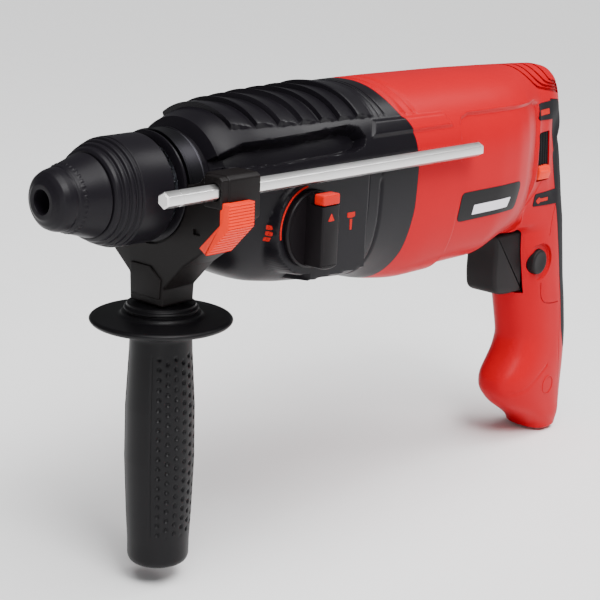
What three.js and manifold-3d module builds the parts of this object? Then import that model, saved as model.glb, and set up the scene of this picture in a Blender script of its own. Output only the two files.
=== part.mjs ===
// A 26 mm class rotary hammer with its side handle and depth rod, in millimetres, +Z up.
// The origin is on the spindle axis where the end of a tool meets the anvil.
// +X points to the nose, +Y to the operator's left.
import * as THREE from "three";
import { mergeVertices } from "three/addons/utils/BufferGeometryUtils.js";
import Module from "manifold-3d";

const wasm = await Module();
wasm.setup();

// ---- driving dimensions -------------------------------------------------------------
const GAP = 0.3; // clearance between pieces that touch
const RUN = 0.4; // clearance of pieces that slide or turn
const WALL = 2.6; // wall of the plastic housings

const NOSE_X = 54; // front face of the dust cap
const TOOL_R = 5; // radius of the tool's shank
const BORE_R = TOOL_R + 0.15;
const SPINDLE_R = 10; // spindle where the balls and the front bearing sit
const SPINDLE_FRONT = 34;
const HOLDER_REAR = -14.6; // where the tool holder ends and the hammer tube begins
const BALL_R = 3.35;
const BALL_X = 17;
const BALL_Y = 7.05; // centre of a locked ball
const SLEEVE_R = 22.5;
const SLEEVE_FRONT = 32;
const SLEEVE_REAR = 4.4;
const SPRING_SEAT_X = 0.9; // front of the spindle's collar behind the sleeve spring

const NECK_R = 21.5; // collar that the side handle clamps on
const NECK_FRONT = 0;
const NECK_REAR = -16;
const NECK_LIP_R = NECK_R + 1.4; // lip at the front of the neck
const SHOULDER_R = NECK_R + 5.1; // front edge of the gear housing behind the neck
const BEARING_R = 18.5; // front spindle bearing
const BEARING_FRONT = -4;
const BEARING_WIDTH = 9;

const TUBE_R = 15; // hammer tube, the rear part of the spindle
const TUBE_BORE = 11;
const TUBE_FRONT = -17;
const TUBE_REAR = -98;
const ANVIL_COLLAR_X = -21;
const ANVIL_REAR = -36;
const STRIKER_FRONT = -39.5;
const STRIKER_LENGTH = 27;
const PISTON_FRONT = -83;
const PIN_X = -108; // swivel pin of the piston, over the wobble plate
const PISTON_REAR = PIN_X - 8;

const SHAFT_Z = -30; // intermediate shaft
const SHAFT_R = 5;
const SHAFT_FRONT = -49;
const SHAFT_REAR = -141;
const SPINDLE_TEETH = 48;
const PINION_TEETH = 12;
const SPINDLE_MODULE = (-2 * SHAFT_Z) / (SPINDLE_TEETH + PINION_TEETH);
const SPINDLE_GEAR_X = -61; // front face of the spindle gear
const SPINDLE_GEAR_WIDTH = 9;
const TUBE_COLLAR_X = -54; // front of the tube's collar, behind which the spindle gear turns
const TUBE_COLLAR_R = 20.5;
const CLUTCH_SPRING_REAR = -88;
const DRIVEN_TEETH = 43;
const MOTOR_TEETH = 7;
const MOTOR_Z = -10; // motor axis
const MOTOR_MODULE = (2 * (MOTOR_Z - SHAFT_Z)) / (DRIVEN_TEETH + MOTOR_TEETH);
const DRIVEN_GEAR_X = -125.5;
const DRIVEN_GEAR_WIDTH = 7;
const WOBBLE_R = 16.5;
const WOBBLE_BALL_R = 11; // spherical seat between hub and wobble plate
const HUB_WIDTH = 13;

const CLUTCH_FRONT = -86;
const CLUTCH_LENGTH = 11;
const CLUTCH_NECK_R = 7.4;
const FORK_X = -91.5; // shift fork in the clutch sleeve's groove
const FORK_THICK = 2;
const DOG_REAR = -99.8;
const DOG_TURNS = [0, 1, 2, 3].map((i) => (i * Math.PI) / 2);

const KNOB_X = -59; // mode selector
const KNOB_Z = -19;
const KNOB_R = 17;

const SPLIT_X = -130; // joint between gear housing and motor housing
const BODY_HALF = 38; // half width of both housings
const PANEL_Y = BODY_HALF + 0.2; // outside face of the panel round the knob
const KNOB_FRONT_Y = PANEL_Y + 11.8;
const FLANGE_X = -134.5; // bearing flange
const FLANGE_WIDTH = 7;
const FAN_X = -145;
const STATOR_X = -160;
const STATOR_LENGTH = 45;
const STATOR_R = 33;
const STATOR_BORE = 19.4;
const ARMATURE_R = 18.8;
const COMMUTATOR_X = -214;
const COMMUTATOR_R = 12;
const COMMUTATOR_LENGTH = 14;
const REAR_BEARING_X = -232;

const TRIGGER_X = -241; // upper front corner of the trigger
const TRIGGER_TOP = -53;
const TRIGGER_HEIGHT = 36;
const TRIGGER_HALF = 10;
const TRIGGER_REAR = -266;
const TRIGGER_TRAVEL = 6;
const LOCK_X = -275.5; // lock-on button
const LOCK_Z = -71.5;
const LOCK_R = 7.3;
const LEVER_X = -267.5; // reversing lever
const LEVER_ANGLE = -31;
const LEVER_R = 23;
const HANDLE_BOTTOM = -176;
const HEEL_TOP = -162; // the heel round the cord's bush is a piece of its own
const HEEL_REAR = -330;
const INLET_X = -307; // cord inlet in the heel of the handle
const INLET_R = 4.2;

const CLAMP_X = -9.6; // axis of the side handle
const STRAP_WIDTH = 9.6;
const STRAP_THICK = 1.4;
const STRAP_R = NECK_R + 2 * GAP; // inside of the strap, clear of the neck's corners as it turns
const STRAP_SHIFT = 2.2; // centre of the strap ahead of the clamp's
const CLAMP_BOTTOM = -50;
const FLANGE_Z = -56.9; // guard disc of the side grip
const GRIP_FLANGE_R = 30.6;
const GRIP_BOTTOM = -168;
const BUTTON_TRAVEL = 1.6; // rod release button
const ROD_Y = BODY_HALF + 4.2; // depth rod
const ROD_Z = 4.4;
const ROD_FLAT = 3; // half the size across flats
const ROD_FRONT = 30;
const ROD_LENGTH = 204;

// ---- small fits, worked out from the sizes above ------------------------------------------
const CAM_PITCH = 5 / Math.PI; // slide of the shift plate per radian of the knob, in mm
const CAM_RADIUS = 9; // middle of the spiral groove
const FOLLOWER_R = 1.6;
const BRUSH_X = COMMUTATOR_X - COMMUTATOR_LENGTH / 2;
const SOFT_TOP = -3;
const INLET_LIP_Z = HANDLE_BOTTOM + WALL + GAP;
const INLET_LIP_HEIGHT = 4;
const INLET_WALL = 1.6;
const INLET_LIP = 1.2;

// ---- finishes -------------------------------------------------------------------------
const finish = (color, roughness, metalness) =>
  new THREE.MeshStandardMaterial({ color, roughness, metalness });
const RED = finish(0xc8202c, 0.42, 0);
const BLACK = finish(0x211e22, 0.55, 0);
const SOFT = finish(0x1b1b1e, 0.85, 0);
const RUBBER = finish(0x191719, 0.8, 0);
const ORANGE = finish(0xee3a1c, 0.5, 0);
const STEEL = finish(0xb8bbc0, 0.3, 1);
const DARK_STEEL = finish(0x6f7278, 0.4, 1);
const BRIGHT = finish(0xe4e4e6, 0.22, 1);
const ALUMINIUM = finish(0xa6a9ad, 0.5, 1);
const COPPER = finish(0xb0622f, 0.45, 1);
const BRASS = finish(0xb8964a, 0.4, 1);
const CARBON = finish(0x2c2c2e, 0.7, 0.2);

// ---- solids ---------------------------------------------------------------------------
/** A closed three.js geometry as a manifold solid, with its faces turned outwards. */
function solid(geometry) {
  geometry.deleteAttribute("normal");
  geometry.deleteAttribute("uv");
  const merged = mergeVertices(geometry, 1e-4);
  const points = merged.attributes.position.array;
  const index = merged.index.array;
  const corner = (i) => new THREE.Vector3().fromArray(points, 3 * i);
  const faces = [];
  let volume = 0;
  for (let i = 0; i < index.length; i += 3) {
    const [a, b, c] = [index[i], index[i + 1], index[i + 2]];
    if (a === b || b === c || c === a) continue;
    faces.push([a, b, c]);
    volume += corner(a).dot(corner(b).cross(corner(c)));
  }
  const order = volume < 0 ? ([a, b, c]) => [a, c, b] : (face) => face;
  const triVerts = Uint32Array.from(faces.flatMap(order));
  const vertProperties = Float32Array.from(points);
  return new wasm.Manifold(new wasm.Mesh({ numProp: 3, vertProperties, triVerts }));
}

const join = (first, ...others) => others.reduce((sum, other) => sum.add(other), first);
const cut = (first, ...others) => others.reduce((rest, other) => rest.subtract(other), first);
const common = (first, ...others) => others.reduce((part, other) => part.intersect(other), first);

/** A named mesh made from a solid. */
function piece(name, shape, material) {
  const { vertProperties, triVerts } = shape.getMesh();
  const geometry = new THREE.BufferGeometry();
  geometry.setAttribute("position", new THREE.BufferAttribute(vertProperties, 3));
  geometry.setIndex(new THREE.BufferAttribute(triVerts, 1));
  geometry.computeVertexNormals();
  const mesh = new THREE.Mesh(geometry, material);
  mesh.name = name;
  return mesh;
}

/** Turns a closed profile of [x, r] corners about an axis along X at height z. */
function turnX(profile, { y = 0, z = 0, segments = 20 } = {}) {
  const points = [...profile, profile[0]].map(([x, r]) => new THREE.Vector2(r, x));
  const geometry = new THREE.LatheGeometry(points, segments);
  return solid(geometry.rotateZ(-Math.PI / 2).translate(0, y, z));
}

/** Turns a closed profile of [y, r] corners about an axis along Y. */
function turnY(profile, { x = 0, z = 0, segments = 20 } = {}) {
  const points = [...profile, profile[0]].map(([y, r]) => new THREE.Vector2(r, y));
  return solid(new THREE.LatheGeometry(points, segments).translate(x, 0, z));
}

/** Turns a closed profile of [z, r] corners about an axis along Z. */
function turnZ(profile, { x = 0, y = 0, segments = 20 } = {}) {
  const points = [...profile, profile[0]].map(([z, r]) => new THREE.Vector2(r, z));
  return solid(new THREE.LatheGeometry(points, segments).rotateX(Math.PI / 2).translate(x, y, 0));
}

const tubeProfile = (from, to, outer, inner) => [[from, inner], [from, outer], [to, outer], [to, inner]];
const rodX = (from, to, radius, place) => turnX([[from, 0], [from, radius], [to, radius], [to, 0]], place);
const tubeX = (from, to, outer, inner, place) => turnX(tubeProfile(from, to, outer, inner), place);
const rodY = (from, to, radius, place) => turnY([[from, 0], [from, radius], [to, radius], [to, 0]], place);
const rodZ = (from, to, radius, place) => turnZ([[from, 0], [from, radius], [to, radius], [to, 0]], place);

/** A box between two corners. */
function box([x0, y0, z0], [x1, y1, z1]) {
  const geometry = new THREE.BoxGeometry(Math.abs(x1 - x0), Math.abs(y1 - y0), Math.abs(z1 - z0));
  return solid(geometry.translate((x0 + x1) / 2, (y0 + y1) / 2, (z0 + z1) / 2));
}

/** An outline of [x, z] corners pushed along Y from one side to the other. */
function slabY(outline, from, to) {
  const shape = new THREE.Shape(outline.map(([x, z]) => new THREE.Vector2(x, z)));
  const geometry = new THREE.ExtrudeGeometry(shape, { depth: Math.abs(to - from), bevelEnabled: false });
  return solid(geometry.rotateX(Math.PI / 2).translate(0, Math.max(from, to), 0));
}

/** An outline of [y, z] corners pushed along X from one end to the other. */
function slabX(outline, from, to) {
  const shape = new THREE.Shape(outline.map(([y, z]) => new THREE.Vector2(y, z)));
  const geometry = new THREE.ExtrudeGeometry(shape, { depth: Math.abs(to - from), bevelEnabled: false });
  geometry.rotateX(Math.PI / 2).rotateZ(Math.PI / 2);
  return solid(geometry.translate(Math.min(from, to), 0, 0));
}

/** Rounds the corners of an outline: each corner becomes an arc of the given radius. */
function rounded(outline, radius, steps = 3) {
  return outline.flatMap((point, i) => {
    const corner = new THREE.Vector2(...point);
    const before = new THREE.Vector2(...outline.at(i - 1)).sub(corner);
    const after = new THREE.Vector2(...outline[(i + 1) % outline.length]).sub(corner);
    const reach = Math.min(radius, before.length() / 2, after.length() / 2);
    const start = corner.clone().addScaledVector(before.normalize(), reach);
    const end = corner.clone().addScaledVector(after.normalize(), reach);
    const curve = new THREE.QuadraticBezierCurve(start, corner, end);
    return curve.getPoints(steps).map((p) => [p.x, p.y]);
  });
}

/** A skin over rings of equal point counts, closed at both ends. */
function loft(rings) {
  const count = rings[0].length;
  const middle = (ring) => ring.reduce((sum, p) => sum.add(p), new THREE.Vector3()).divideScalar(count);
  const points = [...rings.flat(), middle(rings[0]), middle(rings.at(-1))];
  const index = [];
  for (let i = 0; i < count; i++) {
    const next = (i + 1) % count;
    for (let ring = 0; ring < rings.length - 1; ring++) {
      const [a, b] = [ring * count + i, ring * count + next];
      index.push(a, b, b + count, a, b + count, a + count);
    }
    const last = (rings.length - 1) * count;
    index.push(points.length - 2, next, i, points.length - 1, last + i, last + next);
  }
  const geometry = new THREE.BufferGeometry().setFromPoints(points);
  return solid(geometry.setIndex(index));
}

const signedPower = (value, power) => Math.sign(value) * Math.abs(value) ** power;

/** A gear along X with straight-flanked teeth and the shaft hole left to the caller. */
function gear(teeth, module, from, to, { z = 0, phase = 0 } = {}) {
  const pitch = (teeth * module) / 2;
  const half = 1.2 * module;
  const corners = [];
  for (let i = 0; i < teeth; i++) {
    const angle = phase + (i * 2 * Math.PI) / teeth;
    const sides = [[pitch - 1.15 * module, 0.72], [pitch + 0.7 * module, 0.22]];
    const flank = ([radius, share], side) => {
      const turn = angle + (side * share * half) / radius;
      return [radius * Math.cos(turn), z + radius * Math.sin(turn)];
    };
    corners.push(...sides.map((side) => flank(side, -1)));
    corners.push(...sides.reverse().map((side) => flank(side, 1)));
  }
  return slabX(corners, from, to);
}

/** A helix of wire about an axis along X. */
class Coil extends THREE.Curve {
  constructor(from, to, radius, turns) {
    super();
    Object.assign(this, { from, to, radius, turns });
  }

  getPoint(t, target = new THREE.Vector3()) {
    const angle = 2 * Math.PI * this.turns * t;
    const along = THREE.MathUtils.lerp(this.from, this.to, t);
    return target.set(along, this.radius * Math.cos(angle), this.radius * Math.sin(angle));
  }
}

/** A coil spring between two planes across X, as a geometry. */
function spring(from, to, radius, wire, turns) {
  const inward = wire * Math.sign(to - from);
  const corner = (i) => new THREE.Vector2(wire * Math.cos(0.4 * Math.PI * i), wire * Math.sin(0.4 * Math.PI * i));
  const section = new THREE.Shape([0, 1, 2, 3, 4].map(corner));
  const extrudePath = new Coil(from + inward, to - inward, radius, turns);
  return new THREE.ExtrudeGeometry(section, { steps: Math.round(turns * 9), extrudePath });
}

// ---- chuck ----------------------------------------------------------------------------
function dustCap() {
  const profile = [
    [NOSE_X, 4.7], [NOSE_X, 7.5], [NOSE_X - 1.6, 10.2], [NOSE_X - 5, 12.1], [NOSE_X - 9.5, 13.1],
    [NOSE_X - 20, 16.4], [SLEEVE_FRONT + GAP, 17], [SLEEVE_FRONT + GAP, SPINDLE_R + GAP],
    [SPINDLE_FRONT + GAP, SPINDLE_R + GAP], [SPINDLE_FRONT + GAP, BORE_R + 0.6], [NOSE_X - 3, BORE_R + 0.6],
  ];
  return piece("dust_cap", turnX(profile, { segments: 24 }), RUBBER);
}

function lockingSleeve() {
  const inner = 18.6;
  const profile = [
    [SLEEVE_FRONT, SPINDLE_R + RUN], [SLEEVE_FRONT, 17.6], [SLEEVE_FRONT - 3, 17.8], [SLEEVE_FRONT - 3.2, 19.4],
    [SLEEVE_FRONT - 6, 19.7], [SLEEVE_FRONT - 6.2, 21.2], [SLEEVE_FRONT - 9, 21.5], [SLEEVE_FRONT - 9.2, 22.2],
    [SLEEVE_FRONT - 12, SLEEVE_R - 0.3], [SLEEVE_REAR, SLEEVE_R], [SLEEVE_REAR, NECK_R + RUN],
    [SLEEVE_REAR + 6, NECK_R - 0.3 + RUN], [SLEEVE_REAR + 6, inner], [SLEEVE_FRONT - 6, inner],
    [SLEEVE_FRONT - 3, SPINDLE_R + RUN],
  ];
  return piece("locking_sleeve", turnX(profile, { segments: 24 }), BLACK);
}

/** Steel ring inside the sleeve that holds the balls in, with a ramp that lets them out. */
function lockingRing() {
  const front = BALL_X + 2.6;
  const bore = 11;
  const profile = [[front, 13.3], [front, 18.2], [front - 9, 18.2], [front - 9, bore], [front - 2.5, bore]];
  return piece("locking_ring", turnX(profile), STEEL);
}

function sleeveSpring() {
  return piece("sleeve_spring", solid(spring(BALL_X - 6.8, SPRING_SEAT_X + GAP, 14.4, 0.7, 4)), DARK_STEEL);
}

function lockingBall(name, side) {
  const geometry = new THREE.SphereGeometry(BALL_R, 16, 10).rotateX(Math.PI / 2);
  return piece(name, solid(geometry.translate(BALL_X, side * BALL_Y, 0)), STEEL);
}

/** Tool holder in front, hammer tube behind, with two ball windows and two drive keys. */
/** The tool holder with its ball windows and drive keys, and the hammer tube pressed into its rear. */
function spindle() {
  const profile = [
    [SPINDLE_FRONT, BORE_R + 0.5], [SPINDLE_FRONT, SPINDLE_R - 0.8], [SPINDLE_FRONT - 1, SPINDLE_R],
    [SPRING_SEAT_X, SPINDLE_R], [SPRING_SEAT_X, 16.2], [0, 16.2], [0, SPINDLE_R], [TUBE_FRONT + 1, SPINDLE_R],
    [TUBE_FRONT + 1, TUBE_R], [TUBE_COLLAR_X, TUBE_R], [TUBE_COLLAR_X, TUBE_COLLAR_R],
    [TUBE_COLLAR_X - 3, TUBE_COLLAR_R], [TUBE_COLLAR_X - 3, TUBE_R], [TUBE_REAR, TUBE_R],
    [TUBE_REAR, TUBE_BORE], [TUBE_FRONT - 1, TUBE_BORE], [TUBE_FRONT + 1, BORE_R], [SPINDLE_FRONT - 2, BORE_R],
  ];
  const window = BALL_R + 0.25;
  const reach = SPINDLE_R + 2;
  const windows = [-1, 1].map((side) => rodY(side * 2, side * reach, window, { x: BALL_X, segments: 20 }));
  const keys = [-1, 1].map((side) => box([6, -1.6, side * 3.9], [SPINDLE_FRONT - 3, 1.6, side * 7]));
  const whole = join(cut(turnX(profile), ...windows), ...keys);
  const holder = common(whole, box([HOLDER_REAR, -reach * 2, -reach * 2], [SPINDLE_FRONT + 1, reach * 2, reach * 2]));
  const tube = common(whole, box([TUBE_REAR - 1, -reach * 2, -reach * 2], [HOLDER_REAR - GAP, reach * 2, reach * 2]));
  return [piece("tool_holder", holder, STEEL), piece("spindle", tube, STEEL)];
}

function spindleBearing() {
  const rear = BEARING_FRONT - BEARING_WIDTH;
  const profile = tubeProfile(BEARING_FRONT, rear, BEARING_R, SPINDLE_R + GAP);
  return piece("spindle_bearing", turnX(profile), STEEL);
}

// ---- hammer mechanism -----------------------------------------------------------------
function anvil() {
  const profile = [
    [0, 0], [0, 3.8], [-1, BORE_R - RUN], [ANVIL_COLLAR_X, BORE_R - RUN], [ANVIL_COLLAR_X, 8.5],
    [ANVIL_COLLAR_X - 1.5, TUBE_BORE - RUN], [ANVIL_COLLAR_X - 8, TUBE_BORE - RUN],
    [ANVIL_COLLAR_X - 9, 6.5], [ANVIL_REAR, 6], [ANVIL_REAR, 0],
  ];
  return piece("anvil", turnX(profile, { segments: 24 }), STEEL);
}

function striker() {
  const front = STRIKER_FRONT;
  const rear = front - STRIKER_LENGTH;
  const groove = rear + 6;
  const side = TUBE_BORE - RUN;
  const profile = [
    [front, 0], [front, 6], [front - 5, 6.4], [front - 6, side], [groove + 3.2, side], [groove + 3.2, 8.6],
    [groove, 8.6], [groove, side], [rear, side], [rear, 0],
  ];
  return piece("striker", turnX(profile, { segments: 24 }), STEEL);
}

/** Piston with a slot for the wobble finger and a cross hole for its swivel pin. */
function piston() {
  const side = TUBE_BORE - RUN;
  const profile = [
    [PISTON_FRONT, 0], [PISTON_FRONT, side], [PISTON_REAR, side], [PISTON_REAR, 7], [PIN_X + 9, 7], [PIN_X + 9, 0],
  ];
  const slot = box([PIN_X + 7, -3.6, -TUBE_R], [PISTON_REAR - 1, 3.6, TUBE_R]);
  const hole = rodY(-TUBE_R, TUBE_R, 4.2 + RUN, { x: PIN_X, segments: 20 });
  return piece("piston", cut(turnX(profile, { segments: 24 }), slot, hole), ALUMINIUM);
}

function pistonPin() {
  const pin = rodY(-9.6, 9.6, 4.2, { x: PIN_X, segments: 20 });
  return piece("piston_pin", cut(pin, rodZ(-6, 6, 2.5 + RUN, { x: PIN_X, segments: 16 })), STEEL);
}

/** Ring round the hub with a finger that reaches up through the piston's swivel pin. */
function wobblePlate() {
  const seat = WOBBLE_BALL_R + RUN;
  const half = 4.6;
  const outline = [-half, -half / 2, 0, half / 2, half].map((x) => [PIN_X + x, Math.sqrt(seat ** 2 - x ** 2)]);
  const ring = turnX([...outline, [PIN_X + half, WOBBLE_R], [PIN_X - half, WOBBLE_R]], { z: SHAFT_Z });
  const finger = rodZ(SHAFT_Z + WOBBLE_R - 2, 4, 2.5, { x: PIN_X, segments: 16 });
  return piece("wobble_plate", join(ring, finger), STEEL);
}

/** Drum with a rounded seat and a tilted race, driven by the intermediate shaft. */
function wobbleHub() {
  const half = HUB_WIDTH / 2;
  const arc = [-1, -0.6, -0.3, 0, 0.3, 0.6, 1].map((s) => [s * half, Math.sqrt(WOBBLE_BALL_R ** 2 - (s * half) ** 2)]);
  const bore = SHAFT_R + GAP;
  const profile = [[PIN_X - half, bore], ...arc.map(([x, r]) => [PIN_X + x, r]), [PIN_X + half, bore]];
  const slots = DOG_TURNS.map((turn) => dog(turn, PIN_X + half + 1, PIN_X + half - 4, RUN));
  return piece("wobble_hub", cut(turnX(profile, { z: SHAFT_Z }), ...slots), DARK_STEEL);
}

// ---- gear train -----------------------------------------------------------------------
/** Shaft that carries the pinion, the clutch sleeve, the wobble hub and the driven gear. */
function intermediateShaft() {
  const shaft = rodX(SHAFT_FRONT, SHAFT_REAR, SHAFT_R, { z: SHAFT_Z, segments: 24 });
  const phase = -Math.PI / 2 + Math.PI / PINION_TEETH;
  const from = SPINDLE_GEAR_X + 1.5;
  const pinion = gear(PINION_TEETH, SPINDLE_MODULE, from, from - SPINDLE_GEAR_WIDTH - 3, { z: SHAFT_Z, phase });
  return piece("intermediate_shaft", join(shaft, pinion), DARK_STEEL);
}

function spindleGear() {
  const rear = SPINDLE_GEAR_X - SPINDLE_GEAR_WIDTH;
  const wheel = gear(SPINDLE_TEETH, SPINDLE_MODULE, SPINDLE_GEAR_X, rear, { phase: -Math.PI / 2 });
  return piece("spindle_gear", cut(wheel, rodX(SPINDLE_GEAR_X + 1, rear - 1, TUBE_R + GAP)), DARK_STEEL);
}

function clutchSpring() {
  const front = SPINDLE_GEAR_X - SPINDLE_GEAR_WIDTH - GAP;
  return piece("clutch_spring", solid(spring(front, CLUTCH_SPRING_REAR, 17.6, 1.2, 4.5)), DARK_STEEL);
}

function clutchWasher() {
  return piece("clutch_washer", tubeX(CLUTCH_SPRING_REAR - GAP, CLUTCH_SPRING_REAR - 2, 20, TUBE_R + GAP), STEEL);
}

/** Toothed sleeve on the shaft that the selector slides towards the wobble hub. */
function clutchSleeve() {
  const rear = CLUTCH_FRONT - CLUTCH_LENGTH;
  const [near, far] = [FORK_X + FORK_THICK / 2 + RUN, FORK_X - FORK_THICK / 2 - RUN];
  const profile = [
    [CLUTCH_FRONT, SHAFT_R + GAP], [CLUTCH_FRONT, 9.5], [near, 9.5], [near, CLUTCH_NECK_R], [far, CLUTCH_NECK_R],
    [far, 9.5], [rear, 9.5], [rear, SHAFT_R + GAP],
  ];
  const dogs = DOG_TURNS.map((turn) => dog(turn, rear + 0.5, DOG_REAR, 0));
  return piece("clutch_sleeve", join(turnX(profile, { z: SHAFT_Z }), ...dogs), DARK_STEEL);
}

/** One driving dog of the clutch, or with a clearance the slot that it enters. */
function dog(turn, from, to, clearance) {
  const width = 3 + 2 * clearance;
  const bar = new THREE.BoxGeometry(from - to, width, 2 + 2 * clearance);
  bar.translate((from + to) / 2, 0, 7.6).rotateX(turn);
  return solid(bar.translate(0, 0, SHAFT_Z));
}

function drivenGear() {
  const rear = DRIVEN_GEAR_X - DRIVEN_GEAR_WIDTH;
  const phase = Math.PI / 2;
  const wheel = gear(DRIVEN_TEETH, MOTOR_MODULE, DRIVEN_GEAR_X, rear, { z: SHAFT_Z, phase });
  const bore = rodX(DRIVEN_GEAR_X + 1, rear - 1, SHAFT_R + GAP, { z: SHAFT_Z });
  return piece("driven_gear", cut(wheel, bore), DARK_STEEL);
}

function shaftFrontBearing() {
  const bearing = tubeX(SHAFT_FRONT + 0.5, SHAFT_FRONT - 5, 8, SHAFT_R + GAP, { z: SHAFT_Z });
  return piece("shaft_front_bearing", bearing, STEEL);
}

function shaftRearBearing() {
  const bearing = tubeX(FLANGE_X - 1, FLANGE_X - FLANGE_WIDTH + 1, 8, SHAFT_R + GAP, { z: SHAFT_Z });
  return piece("shaft_rear_bearing", bearing, STEEL);
}

// ---- mode selector ----------------------------------------------------------------------

/** Grip bar on a round skirt, with a stem that carries the cam disc inside the housing. */
function selectorKnob() {
  const skirt = turnY([
    [PANEL_Y + GAP, 0], [PANEL_Y + GAP, KNOB_R - 0.6], [PANEL_Y + 2.6, KNOB_R], [PANEL_Y + 4.6, KNOB_R - 1.4],
    [PANEL_Y + 4.6, 0],
  ], { x: KNOB_X, z: KNOB_Z, segments: 24 });
  const bar = rounded([[KNOB_X - 5.6, KNOB_Z - 15], [KNOB_X + 5.6, KNOB_Z - 15], [KNOB_X + 6.6, KNOB_Z],
    [KNOB_X + 6.6, KNOB_Z + 9.4], [KNOB_X - 6.6, KNOB_Z + 9.4], [KNOB_X - 6.6, KNOB_Z]], 2);
  const stem = rodY(29.4, PANEL_Y + 1, 6, { x: KNOB_X, z: KNOB_Z, segments: 24 });
  return piece("selector_knob", join(skirt, slabY(bar, PANEL_Y + 2, KNOB_FRONT_Y), stem), BLACK);
}

/** Disc on the knob's stem with a spiral groove for the shift plate's follower. */
function selectorCam() {
  const spiral = [];
  const edge = (turn, offset) => {
    const radius = CAM_RADIUS + CAM_PITCH * turn + offset;
    return [KNOB_X - radius * Math.cos(turn), KNOB_Z + radius * Math.sin(turn)];
  };
  const turns = Array.from({ length: 15 }, (_, i) => ((i - 7) / 7) * 1.85);
  turns.forEach((turn) => spiral.push(edge(turn, FOLLOWER_R + RUN)));
  turns.reverse().forEach((turn) => spiral.push(edge(turn, -FOLLOWER_R - RUN)));
  const disc = rodY(27.4, 29.4 - GAP, 14.6, { x: KNOB_X, z: KNOB_Z });
  return piece("selector_cam", cut(disc, slabY(spiral, 26, 31)), BRASS);
}

function knobLock() {
  const front = KNOB_FRONT_Y - 0.5;
  const outline = rounded([[KNOB_X - 6, KNOB_Z + 9.8], [KNOB_X + 6, KNOB_Z + 9.8], [KNOB_X + 5, KNOB_Z + 15],
    [KNOB_X - 5, KNOB_Z + 15]], 1.2);
  return piece("knob_lock_button", slabY(outline, PANEL_Y + 6.4, front), RED);
}

/** Flat bar driven by the cam, with a fork round the clutch sleeve's groove. */
function shiftPlate() {
  const [front, rear] = [FORK_X + FORK_THICK / 2, FORK_X - FORK_THICK / 2];
  const bar = box([KNOB_X - CAM_RADIUS + 4, 25.4, KNOB_Z - 4], [rear, 27.1, KNOB_Z + 4]);
  const follower = rodY(26, 28.9, FOLLOWER_R, { x: KNOB_X - CAM_RADIUS, z: KNOB_Z, segments: 14 });
  const arm = box([front, -9.6, SHAFT_Z - 5], [rear, 27.1, SHAFT_Z + 9.4]);
  const neck = rodX(front + 1, rear - 1, CLUTCH_NECK_R + RUN, { z: SHAFT_Z });
  const mouth = box([front + 1, -CLUTCH_NECK_R - RUN, SHAFT_Z - 8], [rear - 1, CLUTCH_NECK_R + RUN, SHAFT_Z]);
  return piece("shift_plate", cut(join(bar, follower, arm), neck, mouth), STEEL);
}

// ---- motor ------------------------------------------------------------------------------
const onMotor = { z: MOTOR_Z };

function armatureShaft() {
  const tip = DRIVEN_GEAR_X + 0.3;
  const rear = DRIVEN_GEAR_X - DRIVEN_GEAR_WIDTH;
  const phase = -Math.PI / 2 + Math.PI / MOTOR_TEETH;
  const pinion = gear(MOTOR_TEETH, MOTOR_MODULE, tip, rear - 0.5, { z: MOTOR_Z, phase });
  const shaft = rodX(rear, REAR_BEARING_X - 6.5, 4, { z: MOTOR_Z, segments: 20 });
  return piece("armature_shaft", join(shaft, pinion), DARK_STEEL);
}

/** Core with its windings' end turns. */
function armatureCore() {
  const end = STATOR_X - STATOR_LENGTH;
  const profile = [
    [STATOR_X + 7.5, 4 + GAP], [STATOR_X + 7.5, 12], [STATOR_X + 1, 16.5], [STATOR_X, ARMATURE_R], [end, ARMATURE_R],
    [end - 1, 16.5], [end - 6.5, 12], [end - 6.5, 4 + GAP],
  ];
  return piece("armature_core", turnX(profile, onMotor), COPPER);
}

function commutator() {
  const rear = COMMUTATOR_X - COMMUTATOR_LENGTH;
  const drum = tubeX(COMMUTATOR_X, rear, COMMUTATOR_R, 4 + GAP, onMotor);
  return piece("commutator", drum, COPPER);
}

function fan() {
  const disc = turnX([
    [FAN_X, 4 + GAP], [FAN_X, 30], [FAN_X - 1.4, 30], [FAN_X - 1.4, 10], [FAN_X - 7, 8], [FAN_X - 7, 4 + GAP],
  ], onMotor);
  const blades = Array.from({ length: 9 }, (_, i) => {
    const blade = new THREE.BoxGeometry(6.6, 1.2, 21).rotateX(0.3).translate(FAN_X - 4.2, 0, 18.5);
    return solid(blade.rotateX((i * 2 * Math.PI) / 9).translate(0, 0, MOTOR_Z));
  });
  return piece("fan", join(disc, ...blades), BLACK);
}

/** A curved bar round the motor axis between two angles. */
function ring(outer, inner, from, to, [start, end]) {
  const steps = Math.max(2, Math.round(Math.abs(end - start) * 4));
  const at = (radius, i) => {
    const angle = THREE.MathUtils.lerp(start, end, i / steps);
    return [radius * Math.cos(angle), MOTOR_Z + radius * Math.sin(angle)];
  };
  const arc = Array.from({ length: steps + 1 }, (_, i) => i);
  return slabX([...arc.map((i) => at(outer, i)), ...arc.reverse().map((i) => at(inner, i))], from, to);
}

/** Ring with an upper and a lower pole shoe. */
function statorCore() {
  const end = STATOR_X - STATOR_LENGTH;
  const yoke = tubeX(STATOR_X, end, STATOR_R, STATOR_R - 6.5, onMotor);
  const shoes = [1, -1].map((side) =>
    ring(STATOR_R - 6, STATOR_BORE, STATOR_X, end, [side * 0.62, side * (Math.PI - 0.62)]),
  );
  return piece("stator_core", join(yoke, ...shoes), DARK_STEEL);
}

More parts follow.
